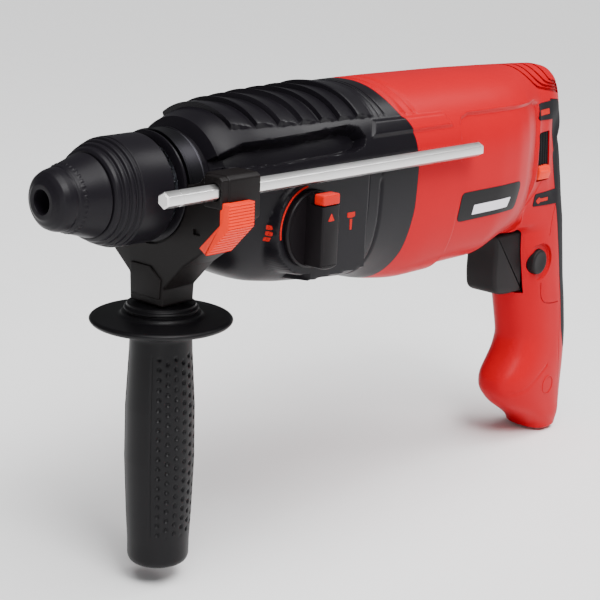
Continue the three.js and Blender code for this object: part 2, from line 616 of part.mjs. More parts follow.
/** A flat loop of wire round one pole, with its end turns outside the core. */
function fieldCoil(name, side) {
  const end = STATOR_X - STATOR_LENGTH;
  const [outer, inner] = [STATOR_R - 7.2, STATOR_BORE + 0.6];
  const sweep = [side * 0.1, side * (Math.PI - 0.1)];
  const turns = [[STATOR_X + 6, STATOR_X + GAP], [end - GAP, end - 6]];
  const bars = [[0.1, 0.56], [Math.PI - 0.56, Math.PI - 0.1]];
  const loops = turns.map(([from, to]) => ring(outer, inner, from, to, sweep));
  const sides = bars.map((span) => ring(outer, inner, STATOR_X + 5, end - 5, span.map((a) => side * a)));
  return piece(name, join(...loops, ...sides), COPPER);
}

function motorFrontBearing() {
  const bearing = tubeX(FLANGE_X - 0.6, FLANGE_X - FLANGE_WIDTH + 0.4, 10.8, 4 + GAP, onMotor);
  return piece("motor_front_bearing", bearing, STEEL);
}

function motorRearBearing() {
  const bearing = tubeX(REAR_BEARING_X, REAR_BEARING_X - 6, 9.5, 4 + GAP, onMotor);
  return piece("motor_rear_bearing", bearing, STEEL);
}

/** Plate between the two housings that holds both bearings of the drive. */
function bearingFlange() {
  const rear = FLANGE_X - FLANGE_WIDTH;
  const plate = common(bodySolid(WALL + GAP), box([FLANGE_X, -60, -80], [rear, 60, 60]));
  const pocket = (radius, z) => rodX(FLANGE_X + 1, rear - 1, radius, { z });
  return piece("bearing_flange", cut(plate, pocket(11.1, MOTOR_Z), pocket(8 + GAP, SHAFT_Z)), ALUMINIUM);
}

/** Bridge across the motor housing that holds the rear bearing. */
function rearBearingBridge() {
  const [front, rear] = [REAR_BEARING_X + 0.5, REAR_BEARING_X - 6.5];
  const boss = rodX(front, rear, 13.5, onMotor);
  const post = box([front, -7, -70], [rear, 7, 50]);
  const bridge = common(join(boss, post), bodySolid(WALL + GAP));
  return piece("rear_bearing_bridge", cut(bridge, rodX(front + 1, rear - 1, 9.5 + GAP, onMotor)), BLACK);
}

// ---- brushes and reversing lever -------------------------------------------------------------

/** Turning plate with two brush holders and the lever that reaches out of the rear slot. */
function brushPlate() {
  const disc = tubeX(COMMUTATOR_X - 10.6, COMMUTATOR_X - 13, 26.5, COMMUTATOR_R + 1, onMotor);
  const holders = [1, -1].map((side) => {
    const outer = box([BRUSH_X + 4.4, side * 14, MOTOR_Z - 4.6], [BRUSH_X - 4.4, side * 30.5, MOTOR_Z + 4.6]);
    return cut(outer, box([BRUSH_X + 2.9, side * 13, MOTOR_Z - 3.1], [BRUSH_X - 2.9, side * 29, MOTOR_Z + 3.1]));
  });
  const half = 0.15;
  const middle = (LEVER_ANGLE * Math.PI) / 180;
  const span = [middle - half, middle + half];
  const arm = join(
    ring(19, 16, COMMUTATOR_X - 12, -250, span),
    ring(19, 11.8, -247, -250, span),
    ring(14.6, 11.8, -248, LEVER_X - 3.5, span),
    ring(LEVER_R, 12, LEVER_X + 3.5, LEVER_X - 3.5, [middle - 0.11, middle + 0.11]),
  );
  return piece("brush_plate", join(disc, ...holders, arm), ORANGE);
}

function carbonBrush(name, side) {
  const near = side * (COMMUTATOR_R + GAP);
  const block = box([BRUSH_X + 2.5, near, MOTOR_Z - 2.7], [BRUSH_X - 2.5, side * 22, MOTOR_Z + 2.7]);
  return piece(name, block, CARBON);
}

function brushSpring(name, side) {
  const coil = spring(22.3, 28.6, 1.9, 0.4, 4).rotateZ((side * Math.PI) / 2);
  return piece(name, solid(coil.translate(BRUSH_X, 0, MOTOR_Z)), DARK_STEEL);
}

// ---- housings ----------------------------------------------------------------------------------
// Rows of the gear housing: x, half width, top, bottom.
const GEAR_ROWS = [
  [NECK_REAR - 1, SHOULDER_R, SHOULDER_R, -SHOULDER_R], [-24, SHOULDER_R + 3.4, SHOULDER_R + 2.9, -SHOULDER_R - 5.4],
  [-35, BODY_HALF - 4.2, 31.4, -41], [-47.5, BODY_HALF - 1.8, 31.9, -46.4], [-62, BODY_HALF - 0.5, 33, -48.6],
  [-93.5, BODY_HALF, 34.4, -52], [-110, BODY_HALF, 36.1, -53.4],
  [SPLIT_X, BODY_HALF, 36.4, -57],
];
// Rows of the motor housing, down to the round end under the rear overhang.
const MOTOR_ROWS = [
  [SPLIT_X, BODY_HALF, 36.4, -57], [-145, BODY_HALF, 36.7, -60], [-205, BODY_HALF, 36.6, -60],
  [-222, BODY_HALF - 1.2, 36.3, -54.5], [-236, BODY_HALF - 5, 36.2, -53], [-250, 25.5, 36, -52.3], [-262, 19.5, 35.8, -51],
  [-277, 18, 35.3, -40],
  [-288, 17, 33.7, -22], [-300, 15, 29.2, 0], [-309, 9, 20.4, 10],
];
// Rows of the handle: z, front, back, half width.
const HANDLE_ROWS = [
  [8, -262, -303, 16.5], [-10, -262, -302, 17.6], [-50, -262, -306, 17.4], [-66, -263, -310, 17],
  [-85, -267, -314, 16.4], [-118, -275.5, -321.5, 15.6], [-127, -272, -322.5, 15.8], [-140, -261, -323, 16.4],
  [-148, -261.5, -322.5, 16.4], [-158, -272, -321.5, 16], [-168, -289, -320, 15.4], [HANDLE_BOTTOM, -297.5, -317, 12.5],
];
const SECTION_STEPS = 24;

/** A section in a plane across X, round at the neck and squarer below the middle further back. */
function bodyRing([x, half, top, bottom], inset) {
  const mean = (top + bottom) / 2;
  const centre = mean < 0 ? 0.4 * mean : mean;
  const [across, up, down] = [half - inset, top - centre - inset, centre - bottom - inset];
  const square = THREE.MathUtils.clamp((NECK_REAR - 1 - x) / 45, 0, 1);
  return Array.from({ length: SECTION_STEPS }, (_, i) => {
    const angle = (i * 2 * Math.PI) / SECTION_STEPS;
    const above = Math.sin(angle) >= 0;
    const power = 2 / (2 + square * (above ? 0.25 : 0.9));
    const y = across * signedPower(Math.cos(angle), power);
    const z = centre + (above ? up : down) * signedPower(Math.sin(angle), power);
    return new THREE.Vector3(x, y, z);
  });
}

/** A rounded section of the handle in a level plane. */
function handleRing([z, front, back, half], inset) {
  const [middle, reach] = [(front + back) / 2, (front - back) / 2 - inset];
  return Array.from({ length: SECTION_STEPS }, (_, i) => {
    const angle = (i * 2 * Math.PI) / SECTION_STEPS;
    const x = middle + reach * signedPower(Math.cos(angle), 2 / 2.6);
    return new THREE.Vector3(x, (half - inset) * signedPower(Math.sin(angle), 2 / 2.6), z);
  });
}

/** The housings' outer shape, or the room inside it when inset by a wall. */
function gearSolid(inset) {
  return loft(GEAR_ROWS.map((row) => bodyRing(row, inset)));
}

function handleSolid(inset) {
  const rows = HANDLE_ROWS.map(([z, ...rest], i) => [i === HANDLE_ROWS.length - 1 ? z + inset : z, ...rest]);
  return loft(rows.map((row) => handleRing(row, inset)));
}

function bodySolid(inset) {
  const rows = MOTOR_ROWS.map(([x, ...rest], i) => [i === MOTOR_ROWS.length - 1 ? x + inset : x, ...rest]);
  return loft(rows.map((row) => bodyRing(row, inset)));
}

/** Black housing round the hammer mechanism, with the neck for the side handle. */
function gearHousing() {
  const neck = turnX([
    [NECK_FRONT - 0.3, 12.5], [NECK_FRONT - 0.3, NECK_LIP_R - 0.3], [NECK_FRONT - 1.8, NECK_LIP_R], [NECK_FRONT - 2.2, NECK_R],
    [NECK_REAR - 2, NECK_R], [NECK_REAR - 2, BEARING_R + GAP - 2], [BEARING_FRONT - BEARING_WIDTH - GAP, BEARING_R - 2.2],
    [BEARING_FRONT - BEARING_WIDTH - GAP, BEARING_R + GAP], [-1.7, BEARING_R + GAP], [-1.7, 16.6],
    [NECK_FRONT - 1.4, 16.6], [NECK_FRONT - 1.4, 12.5],
  ]);
  const seatFront = -48;
  const wall = common(gearSolid(1), box([-46, -22, -60], [-54.6, 22, -16]));
  const seat = rodX(seatFront, -60, 8 + GAP, { z: SHAFT_Z });
  const room = cut(gearSolid(WALL), box([NECK_REAR + 5, -60, -60], [NECK_REAR - 3, 60, 60]));
  const shell = cut(gearSolid(0), room, rodX(NECK_REAR + 5, NECK_REAR - 5, BEARING_R - 2));
  const panel = rodY(30, PANEL_Y, KNOB_R + 3, { x: KNOB_X, z: KNOB_Z });
  const panelRoom = rodY(20, PANEL_Y - WALL, KNOB_R + 0.4, { x: KNOB_X, z: KNOB_Z });
  const stem = rodY(28, PANEL_Y + 2, 6 + RUN, { x: KNOB_X, z: KNOB_Z, segments: 24 });
  const bracket = cut(wall, seat, rodX(-40, -60, 22), rodX(-40, -52, SHAFT_R + 1, { z: SHAFT_Z }));
  const support = common(gearSolid(1), box([CLUTCH_SPRING_REAR - 3, -60, -9], [TUBE_REAR + 0.5, 60, 60]));
  const tubeSeat = cut(support, rodX(-90, TUBE_REAR, TUBE_R + GAP));
  const housing = join(cut(shell, panelRoom), cut(panel, panelRoom), neck, bracket, tubeSeat);
  return piece("gear_housing", cut(housing, stem, sideChannel()), BLACK);
}

/** Long rounded recess on the left side, over the depth rod. */
function sideChannel() {
  const outline = rounded([[-14, 9.5], [-92, 12], [-98, 15], [-98, 19], [-92, 21], [-14, 15.5]], 3);
  return slabY(outline, BODY_HALF - 2.2, BODY_HALF + 10);
}

function triggerWindow() {
  return box([-250, -TRIGGER_HALF - RUN, TRIGGER_TOP - TRIGGER_HEIGHT - RUN],
    [TRIGGER_REAR - 6, TRIGGER_HALF + RUN, TRIGGER_TOP + RUN]);
}

/** Line between the motor housing and the handle's rear cover, as a slab behind it. */
function behindSeam(shift) {
  return slabY([[-291 + shift, 60], [-292.2 + shift, 1], [-294 + shift, -60], [-303 + shift, -100],
    [-308 + shift, -140], [-313 + shift, -190], [-360, -190], [-360, 60]], -40, 40);
}

function rearShell() {
  const room = join(bodySolid(WALL), handleSolid(WALL));
  const front = box([SPLIT_X + 2, -60, -80], [SPLIT_X - 1, 60, 60]);
  const mouth = common(bodySolidFront(), front);
  return cut(join(bodySolid(0), handleSolid(0)), room, mouth);
}

/** The room just behind the joint to the gear housing, so that the shell is open there. */
function bodySolidFront() {
  const [row] = MOTOR_ROWS;
  const rings = [2, -2].map((shift) => bodyRing([SPLIT_X + shift, ...row.slice(1)], WALL));
  return loft(rings);
}

/** Red housing of the motor with the handle's front half. */
function motorHousing() {
  const slot = box([LEVER_X + 4.5, 8, -27], [LEVER_X - 4.5, 40, 2]);
  const lock = rodY(10, 30, LOCK_R + RUN, { x: LOCK_X, z: LOCK_Z, segments: 24 });
  const plate = slabY(plateOutline(GAP), BODY_HALF - 0.8, BODY_HALF + 5);
  const joint = box([SPLIT_X + 1, -60, -80], [SPLIT_X - GAP, 60, 60]);
  const cuts = [behindSeam(0), triggerWindow(), slot, lock, plate, joint, inletRoom()];
  const shell = join(cut(rearShell(), ...cuts), statorRib());
  const above = box([SPLIT_X, -BODY_HALF - 1, HEEL_TOP + GAP], [HEEL_REAR, BODY_HALF + 1, BODY_HALF]);
  const below = box([SPLIT_X, -BODY_HALF - 1, HANDLE_BOTTOM - 5], [HEEL_REAR, BODY_HALF + 1, HEEL_TOP]);
  return [piece("motor_housing", common(shell, above), RED), piece("handle_heel", common(shell, below), RED)];
}

/** Rib inside the housing that the stator sits in. */
function statorRib() {
  const middle = STATOR_X - STATOR_LENGTH / 2;
  const rib = common(bodySolid(WALL / 2), box([middle + 2, -60, -80], [middle - 2, 60, 60]));
  return cut(rib, rodX(middle + 3, middle - 3, STATOR_R + GAP, onMotor));
}

/** Rear cover of the handle, under the soft grip. */
function handleCover() {
  const cover = common(rearShell(), behindSeam(-GAP));
  return piece("handle_cover", cut(cover, softGripSolid(GAP), inletRoom()), RED);
}

/** A band over the back of the handle, a little thicker than its cover's recess. */
function softGripSolid(clearance) {
  const outline = [[-295 + clearance, SOFT_TOP + clearance], [-297 + clearance, -60], [-309 + clearance, -100],
    [-314 + clearance, -128 - clearance], [-345, -134 - clearance], [-345, SOFT_TOP + clearance]];
  const band = slabY(outline, -30, 30);
  return common(cut(join(bodySolid(-0.2), handleSolid(-0.2)), handleSolid(1.3 + clearance)), band);
}

function softGrip() {
  return piece("soft_grip", softGripSolid(0), SOFT);
}

/** Slanted outline of the rating plate on the left side. */
function plateOutline(extra) {
  return [[-172 + extra, -18.3 + extra], [-170 + extra, -31.7 - extra], [-221 - extra, -31.7 - extra],
    [-225 - extra, -18.3 + extra]];
}

function ratingPlate() {
  return piece("rating_plate", slabY(plateOutline(0), BODY_HALF - 0.4, BODY_HALF + 0.3), BLACK);
}

// ---- switch -------------------------------------------------------------------------------------
function trigger() {
  const bottom = TRIGGER_TOP - TRIGGER_HEIGHT;
  const outline = rounded([[TRIGGER_X, TRIGGER_TOP], [TRIGGER_X - 4.5, -66], [TRIGGER_X - 8.5, -78],
    [TRIGGER_X - 8, bottom], [TRIGGER_REAR, bottom], [TRIGGER_REAR, TRIGGER_TOP]], 2.5);
  return piece("trigger", slabY(outline, -TRIGGER_HALF, TRIGGER_HALF), SOFT);
}

function switchBody() {
  const front = TRIGGER_REAR - TRIGGER_TRAVEL - 0.6;
  const body = box([front, -8.6, -50], [front - 24, 8.6, -84]);
  const socket = box([front + 1, -3, -64], [front - 8, 3, -74]);
  return piece("switch_body", cut(body, socket), BLACK);
}

function lockButton() {
  const profile = [[12.6, 0], [12.6, LOCK_R], [19.4, LOCK_R], [20.2, LOCK_R - 1], [20.2, 0]];
  return piece("lock_on_button", turnY(profile, { x: LOCK_X, z: LOCK_Z, segments: 24 }), BLACK);
}

// ---- side handle ----------------------------------------------------------------------------------
function clampStrap() {
  const half = STRAP_WIDTH / 2 - 0.2;
  const centre = CLAMP_X + STRAP_SHIFT;
  const band = tubeX(centre + half, centre - half, STRAP_R + STRAP_THICK, STRAP_R);
  return piece("clamp_strap", band, DARK_STEEL);
}

/** Saddle under the neck that carries the depth rod on its left arm. */
function clampBody() {
  const outline = [
    [-10, CLAMP_BOTTOM], [10, CLAMP_BOTTOM], [10.5, -42], [22, -30], [ROD_Y - 8.2, -21.5], [ROD_Y + 2.6, -9],
    [ROD_Y + 4.8, -7], [ROD_Y + 4.8, 9.5], [ROD_Y + 2.8, 11], [ROD_Y - 8.2, 11], [ROD_Y - 12.2, 6], [0, 0],
    [-NECK_R - 7.5, -4], [-NECK_R - 6.5, -14], [-20, -30], [-10.5, -38],
  ];
  const [front, rear] = [CLAMP_X + 9.3, CLAMP_X - 9.3];
  const yoke = slabX(outline, front, rear);
  const block = slabX([
    [ROD_Y - 6.2, -4], [ROD_Y + 4.4, -4], [ROD_Y + 4.4, 9.2], [ROD_Y + 2.6, 10.6], [ROD_Y - 5.2, 10.6],
  ], 3, front - 1);
  const centre = CLAMP_X + STRAP_SHIFT;
  const roomR = STRAP_R + STRAP_THICK + GAP + 0.1;
  const strapRoom = rodX(centre + STRAP_WIDTH / 2, centre - STRAP_WIDTH / 2, roomR);
  const front2 = rodX(front + 1, CLAMP_X + 2, roomR);
  const [neckRoom, coneStart] = [NECK_LIP_R + 2 * GAP, SHOULDER_R + 1];
  const coneRoom = turnX([[CLAMP_X, 0], [CLAMP_X, neckRoom], [NECK_REAR + 0.5, neckRoom], [NECK_REAR + 0.5, coneStart],
    [NECK_REAR - 0.7, coneStart], [-24, coneStart + 6], [-24, 0]]);
  const hole = rodX(10, -30, ROD_FLAT * 1.155 + RUN, { y: ROD_Y, z: ROD_Z, segments: 18 });
  const bolt = rodZ(CLAMP_BOTTOM - 2, CLAMP_BOTTOM + 15, 4 + GAP, { x: CLAMP_X, segments: 20 });
  const head = rodZ(CLAMP_BOTTOM + 11, CLAMP_BOTTOM + 17, 7 + GAP, { x: CLAMP_X, segments: 20 });
  const pockets = [0, BUTTON_TRAVEL].map((travel) => slabX(buttonOutline(GAP, travel), 3.5, CLAMP_X - 3));
  return piece("clamp_body", cut(join(yoke, block), strapRoom, front2, coneRoom, hole, bolt, head, ...pockets), BLACK);
}

/** Outline of the rod's release button: a tall face that folds in under the arm. */
function buttonOutline(extra, travel = 0) {
  const [inside, outside] = [ROD_Y + 2.6 - extra, ROD_Y + 8];
  const corners = [[inside, 0.8 + extra], [outside, 0.8 + extra], [outside, -9.5], [ROD_Y - 4.2, -22 - extra],
    [ROD_Y - 8.6 - extra, -19.4], [inside, -8.2]];
  return corners.map(([y, z]) => [y - travel, z]);
}

function releaseButton() {
  const [front, rear] = [2.4, CLAMP_X - 3 + GAP];
  return piece("release_button", slabX(buttonOutline(0), front, rear), ORANGE);
}

/** Hexagonal steel bar. */
function depthRod() {
  const rear = ROD_FRONT - ROD_LENGTH;
  const bar = rodX(ROD_FRONT, rear, ROD_FLAT * 1.155, { y: ROD_Y, z: ROD_Z, segments: 6 });
  return piece("depth_rod", bar, BRIGHT);
}

function clampBolt() {
  const bolt = rodZ(-118, CLAMP_BOTTOM + 12, 4, { x: CLAMP_X, segments: 20 });
  const head = rodZ(CLAMP_BOTTOM + 11.4, CLAMP_BOTTOM + 15.6, 7, { x: CLAMP_X, segments: 6 });
  return piece("clamp_bolt", join(bolt, head), STEEL);
}

function gripNut() {
  const nut = cut(rodZ(-112, -104, 7.2, { x: CLAMP_X, segments: 6 }), rodZ(-113, -103, 4 + GAP, { x: CLAMP_X, segments: 16 }));
  return piece("grip_nut", nut, STEEL);
}

/** Barrel grip with its guard disc, hollow round the bolt and open at the top. */
function sideGrip() {
  const profile = [
    [CLAMP_BOTTOM - GAP, 5], [CLAMP_BOTTOM - GAP, 12.6], [-53.4, 13.2], [-54, 17], [FLANGE_Z + 1.4, 27],
    [FLANGE_Z + 0.6, GRIP_FLANGE_R - 0.6], [FLANGE_Z - 0.8, GRIP_FLANGE_R], [FLANGE_Z - 2.2, GRIP_FLANGE_R - 0.8],
    [-61, 17], [-64.5, 13.4], [-72, 13.6], [-96, 15], [-120, 15.2], [-145, 14.2], [-158, 13], [-160, 12.8],
    [-161, 13.6], [-166, 13.6], [GRIP_BOTTOM, 12.4], [GRIP_BOTTOM, 0], [-122, 0], [-122, 5],
  ];
  const body = turnZ(profile, { x: CLAMP_X, segments: 24 });
  const pocket = rodZ(-112.4, -103.6, 7.2 + GAP, { x: CLAMP_X, segments: 6 });
  const entry = box([CLAMP_X - 6.6, 0, -112.4], [CLAMP_X + 6.6, 30, -103.6]);
  return piece("side_grip", cut(body, pocket, entry), BLACK);
}

// ---- fasteners and cord inlet ------------------------------------------------------------------------

/** Hole in the heel for the rubber bush, wider inside where the bush has its lip. */
function inletRoom() {
  const neck = rodZ(HANDLE_BOTTOM - 5, INLET_LIP_Z, INLET_R + INLET_WALL + GAP, { x: INLET_X });
  const lip = [INLET_LIP_Z - GAP, INLET_LIP_Z + INLET_LIP_HEIGHT + GAP];
  return join(neck, rodZ(...lip, INLET_R + INLET_WALL + INLET_LIP + GAP, { x: INLET_X }));
}

/** Rubber bush that the cord passes through. */
function cordInlet() {
  const outer = INLET_R + INLET_WALL;
  const bush = turnZ([
    [HANDLE_BOTTOM - 1, INLET_R], [HANDLE_BOTTOM - 1, outer], [INLET_LIP_Z, outer], [INLET_LIP_Z, outer + INLET_LIP],
    [INLET_LIP_Z + INLET_LIP_HEIGHT, outer + INLET_LIP], [INLET_LIP_Z + INLET_LIP_HEIGHT, INLET_R],
  ], { x: INLET_X });
  return piece("cord_inlet", bush, RUBBER);
}

// ---- the tool -----------------------------------------------------------------------------------------
const hammer = new THREE.Group();
hammer.add(
  dustCap(), lockingSleeve(), lockingRing(), sleeveSpring(), lockingBall("locking_ball_left", 1),
  lockingBall("locking_ball_right", -1), ...spindle(), spindleBearing(),
);
hammer.add(anvil(), striker(), piston(), pistonPin(), wobblePlate(), wobbleHub());
hammer.add(
  intermediateShaft(), spindleGear(), clutchSpring(), clutchWasher(), clutchSleeve(), drivenGear(),
  shaftFrontBearing(), shaftRearBearing(),
);
hammer.add(selectorKnob(), selectorCam(), knobLock(), shiftPlate());
hammer.add(
  armatureShaft(), armatureCore(), commutator(), fan(), statorCore(), fieldCoil("field_coil_upper", 1),
  fieldCoil("field_coil_lower", -1), motorFrontBearing(), motorRearBearing(), bearingFlange(),
  rearBearingBridge(),
);
hammer.add(
  brushPlate(), carbonBrush("carbon_brush_left", 1), carbonBrush("carbon_brush_right", -1),
  brushSpring("brush_spring_left", 1), brushSpring("brush_spring_right", -1),
);
hammer.add(gearHousing(), ...motorHousing(), handleCover(), softGrip(), ratingPlate(), cordInlet());
hammer.add(trigger(), switchBody(), lockButton());
hammer.add(clampStrap(), clampBody(), releaseButton(), depthRod(), clampBolt(), gripNut(), sideGrip());

export default hammer;
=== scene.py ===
"""The looks of a pistol-grip rotary hammer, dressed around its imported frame.

Sizes are in millimetres until a mesh is made. The axes are the frame's own: +X to the nose, +Y to
the operator's left and +Z up.
Every shown surface is worked out on a grid of two parameters, then trimmed where a window or a slot opens it.
"""

import logging
import math
from dataclasses import dataclass
from enum import Enum
from typing import Callable, Sequence

import bpy
import numpy as np
from mathutils import Matrix, Vector


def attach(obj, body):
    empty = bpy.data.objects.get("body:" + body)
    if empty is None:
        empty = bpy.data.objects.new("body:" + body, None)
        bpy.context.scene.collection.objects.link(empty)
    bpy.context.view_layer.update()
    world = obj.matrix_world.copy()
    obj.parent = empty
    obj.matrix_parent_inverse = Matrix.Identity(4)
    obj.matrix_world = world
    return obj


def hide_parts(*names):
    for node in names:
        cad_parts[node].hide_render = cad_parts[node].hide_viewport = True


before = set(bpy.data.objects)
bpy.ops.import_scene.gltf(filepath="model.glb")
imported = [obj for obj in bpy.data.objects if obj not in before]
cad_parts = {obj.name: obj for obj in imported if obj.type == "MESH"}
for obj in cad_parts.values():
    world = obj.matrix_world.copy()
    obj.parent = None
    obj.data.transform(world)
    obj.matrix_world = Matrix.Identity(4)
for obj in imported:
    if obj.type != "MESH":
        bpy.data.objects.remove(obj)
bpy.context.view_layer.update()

MM = 0.001
LOG = logging.getLogger("rotary_hammer")
Array = np.ndarray


# ---- shader maths ------------------------------------------------------------------


class Sock:
    """A number, vector or colour in a material's node tree, with arithmetic on numbers."""

    def __init__(self, tree: "Tree", socket: bpy.types.NodeSocket) -> None:
        """Keeps the tree and the output socket."""
        self.tree, self.socket = tree, socket

    def _math(self, operation: str, first: object, second: object = 0.0) -> "Sock":
        """A Math node on two values."""
        return self.tree.node("ShaderNodeMath", {"operation": operation}, {0: first, 1: second})

    def __add__(self, other: object) -> "Sock":
        """self + other."""
        return self._math("ADD", self, other)

    __radd__ = __add__

    def __mul__(self, other: object) -> "Sock":
        """self x other."""
        return self._math("MULTIPLY", self, other)

    __rmul__ = __mul__

    def over(self, low: float, high: float) -> "Sock":
        """0 where self is below low, 1 above high, and an eased slope between.

        Args:
            low, high: where the slope starts and ends.
        Returns:
            The eased value.
        """
        return self.tree.node(
            "ShaderNodeMapRange",
            {"interpolation_type": "SMOOTHSTEP"},
            {0: self, 1: low, 2: high, 3: 0.0, 4: 1.0},
        )

    def size(self) -> "Sock":
        """The value without its sign."""
        return self._math("ABSOLUTE", self)

    def wave(self, pitch: float) -> "Sock":
        """A sine of the value that repeats every pitch metres, from 0 to 1."""
        return self._math("SINE", self * (2 * math.pi / pitch)) * 0.5 + 0.5


class Tree:
    """The node tree of one material."""

    def __init__(self, name: str) -> None:
        """Makes an empty material whose tree has a Principled shader and an output."""
        self.material = bpy.data.materials.new(name)
        self.material.use_nodes = True
        self.nodes = self.material.node_tree.nodes
        self.links = self.material.node_tree.links
        self.nodes.clear()
        self.shader = self.nodes.new("ShaderNodeBsdfPrincipled")
        output = self.nodes.new("ShaderNodeOutputMaterial")
        self.links.new(self.shader.outputs[0], output.inputs["Surface"])

    def node(
        self, kind: str, settings: dict[str, object] | None = None, values: dict | None = None,
        out: int | str = 0
    ) -> Sock:
        """Adds one node.

        Args:
            kind: the node's type.
            settings: its own settings, set first.
            values: numbers or Socks for its inputs, by place or name.
            out: the output wanted.
        Returns:
            The output as a Sock.
        """
        made = self.nodes.new(kind)
        for key, value in (settings or {}).items():
            setattr(made, key, value)
        for key, value in (values or {}).items():
            self.feed(made.inputs[key], value)
        return Sock(self, made.outputs[out])

    def feed(self, socket: bpy.types.NodeSocket, value: object) -> None:
        """Links a Sock to an input, or sets its constant.

        Args:
            socket: the input.
            value: a Sock or a constant.
        """
        if isinstance(value, Sock):
            self.links.new(value.socket, socket)
        else:
            socket.default_value = value

    def place(self) -> tuple[Sock, Sock, Sock, Sock]:
        """Object coordinates, whole and in their parts.

        Returns:
            The vector, X, Y and Z, in metres.
        """
        point = self.node("ShaderNodeTexCoord", out="Object")
        parts = [self.node("ShaderNodeSeparateXYZ", values={0: point}, out=axis) for axis in "XYZ"]
        return (point, *parts)

    def noise(self, point: Sock, scale: float, detail: float = 3.0, rough: float = 0.5) -> Sock:
        """Fractal noise from 0 to 1.

        Args:
            point: where it is read.
            scale: cells to the metre.
            detail: how many octaves.
            rough: how strong the finer octaves are.
        Returns:
            The noise.
        """
        return self.node(
            "ShaderNodeTexNoise",
            values={"Vector": point, "Scale": scale, "Detail": detail, "Roughness": rough}
        )

    def stretch(self, point: Sock, scale: Sequence[float]) -> Sock:
        """The point with each axis multiplied by its own factor."""
        return self.node("ShaderNodeVectorMath", {"operation": "MULTIPLY"}, {0: point, 1: tuple(scale)})

    def blend(self, factor: Sock, first: object, second: object) -> Sock:
        """A colour that goes from first to second.

        Args:
            factor: 0 for first, 1 for second.
            first, second: colours or Socks.
        Returns:
            The mixed colour.
        """
        return self.node(
            "ShaderNodeMix", {"data_type": "RGBA"}, {0: factor, 6: first, 7: second}, out=2
        )

    def bump(self, height: Sock, strength: float, distance: float) -> Sock:
        """A normal tilted by a height.

        Args:
            height: from 0 to 1.
            strength: how far the tilt is felt.
            distance: metres from 0 to 1.
        Returns:
            The normal.
        """
        return self.node(
            "ShaderNodeBump", values={"Strength": strength, "Distance": distance, "Height": height}
        )


def colour(red: float, green: float, blue: float) -> tuple[float, float, float, float]:
    """A linear colour from sRGB parts out of 255.

    Args:
        red, green, blue: the parts.
    Returns:
        The linear parts and an alpha of 1.
    """
    parts = np.array([red, green, blue]) / 255.0
    linear = np.where(parts <= 0.04045, parts / 12.92, ((parts + 0.055) / 1.055) ** 2.4)
    return (*map(float, linear), 1.0)


def shade(tone: tuple[float, ...], factor: float) -> tuple[float, float, float, float]:
    """The colour with its three parts multiplied by the factor."""
    return (tone[0] * factor, tone[1] * factor, tone[2] * factor, 1.0)


@dataclass(frozen=True)
class Moulded:
    """Moulded plastic or rubber: spark-eroded grain, slow colour drift and faint rub marks."""

    name: str
    tone: tuple[float, float, float, float]
    gloss: float = 0.42
    grain: float = 0.35
    cells: float = 2600.0
    coat: float = 0.0
    sheen: float = 0.5
    drift: float = 0.1

    def make(self) -> bpy.types.Material:
        """Builds the material: two noises drive the colour, the roughness and a shallow bump.

        Returns:
            The material.
        """
        tree = Tree(self.name)
        point, *_ = tree.place()
        slow = tree.noise(point, 28.0, 3.0)
        fine = tree.noise(point, self.cells, 2.0, 0.6)
        rub = tree.noise(tree.stretch(point, (90.0, 700.0, 300.0)), 1.0, 4.0, 0.65).over(0.62, 0.78)
        tree.feed(
            tree.shader.inputs["Base Color"],
            tree.blend(slow, shade(self.tone, 1 - self.drift), shade(self.tone, 1 + self.drift)),
        )
        tree.feed(
            tree.shader.inputs["Roughness"], slow * 0.08 + (self.gloss - 0.04) + rub * 0.07 + fine * 0.04
        )
        tree.feed(tree.shader.inputs["Normal"], tree.bump(fine, self.grain, 0.00006))
        tree.shader.inputs["Specular IOR Level"].default_value = self.sheen
        tree.shader.inputs["Coat Weight"].default_value = self.coat
        tree.shader.inputs["Coat Roughness"].default_value = 0.25
        return tree.material


class Lay(Enum):
    """Which way the marks of the cutting tool run."""

    ALONG_X = (6.0, 1500.0, 1500.0)
    ALONG_Z = (1500.0, 1500.0, 6.0)
    TURNED = (1800.0, 40.0, 40.0)
    CAST = (420.0, 420.0, 420.0)


@dataclass(frozen=True)
class Metal:
    """Worked metal: marks along one direction, uneven oil film and a little tarnish."""

    name: str
    tone: tuple[float, float, float, float]
    gloss: float = 0.28
    lay: Lay = Lay.TURNED
    marks: float = 0.3
    tarnish: float = 0.25

    def make(self) -> bpy.types.Material:
        """Builds the material: stretched noise for the marks, slow noise for the film.

        Returns:
            The material.
        """
        tree = Tree(self.name)
        point, *_ = tree.place()
        marks = tree.noise(tree.stretch(point, self.lay.value), 1.0, 4.0, 0.6)
        film = tree.noise(point, 60.0, 3.0)
        tree.feed(
            tree.shader.inputs["Base Color"],
            tree.blend(film * self.tarnish + marks * 0.15, self.tone, shade(self.tone, 0.55)),
        )
        tree.feed(tree.shader.inputs["Roughness"], marks * 0.14 + film * 0.1 + (self.gloss - 0.12))
        tree.feed(tree.shader.inputs["Normal"], tree.bump(marks, self.marks, 0.00005))
        tree.shader.inputs["Metallic"].default_value = 1.0
        return tree.material


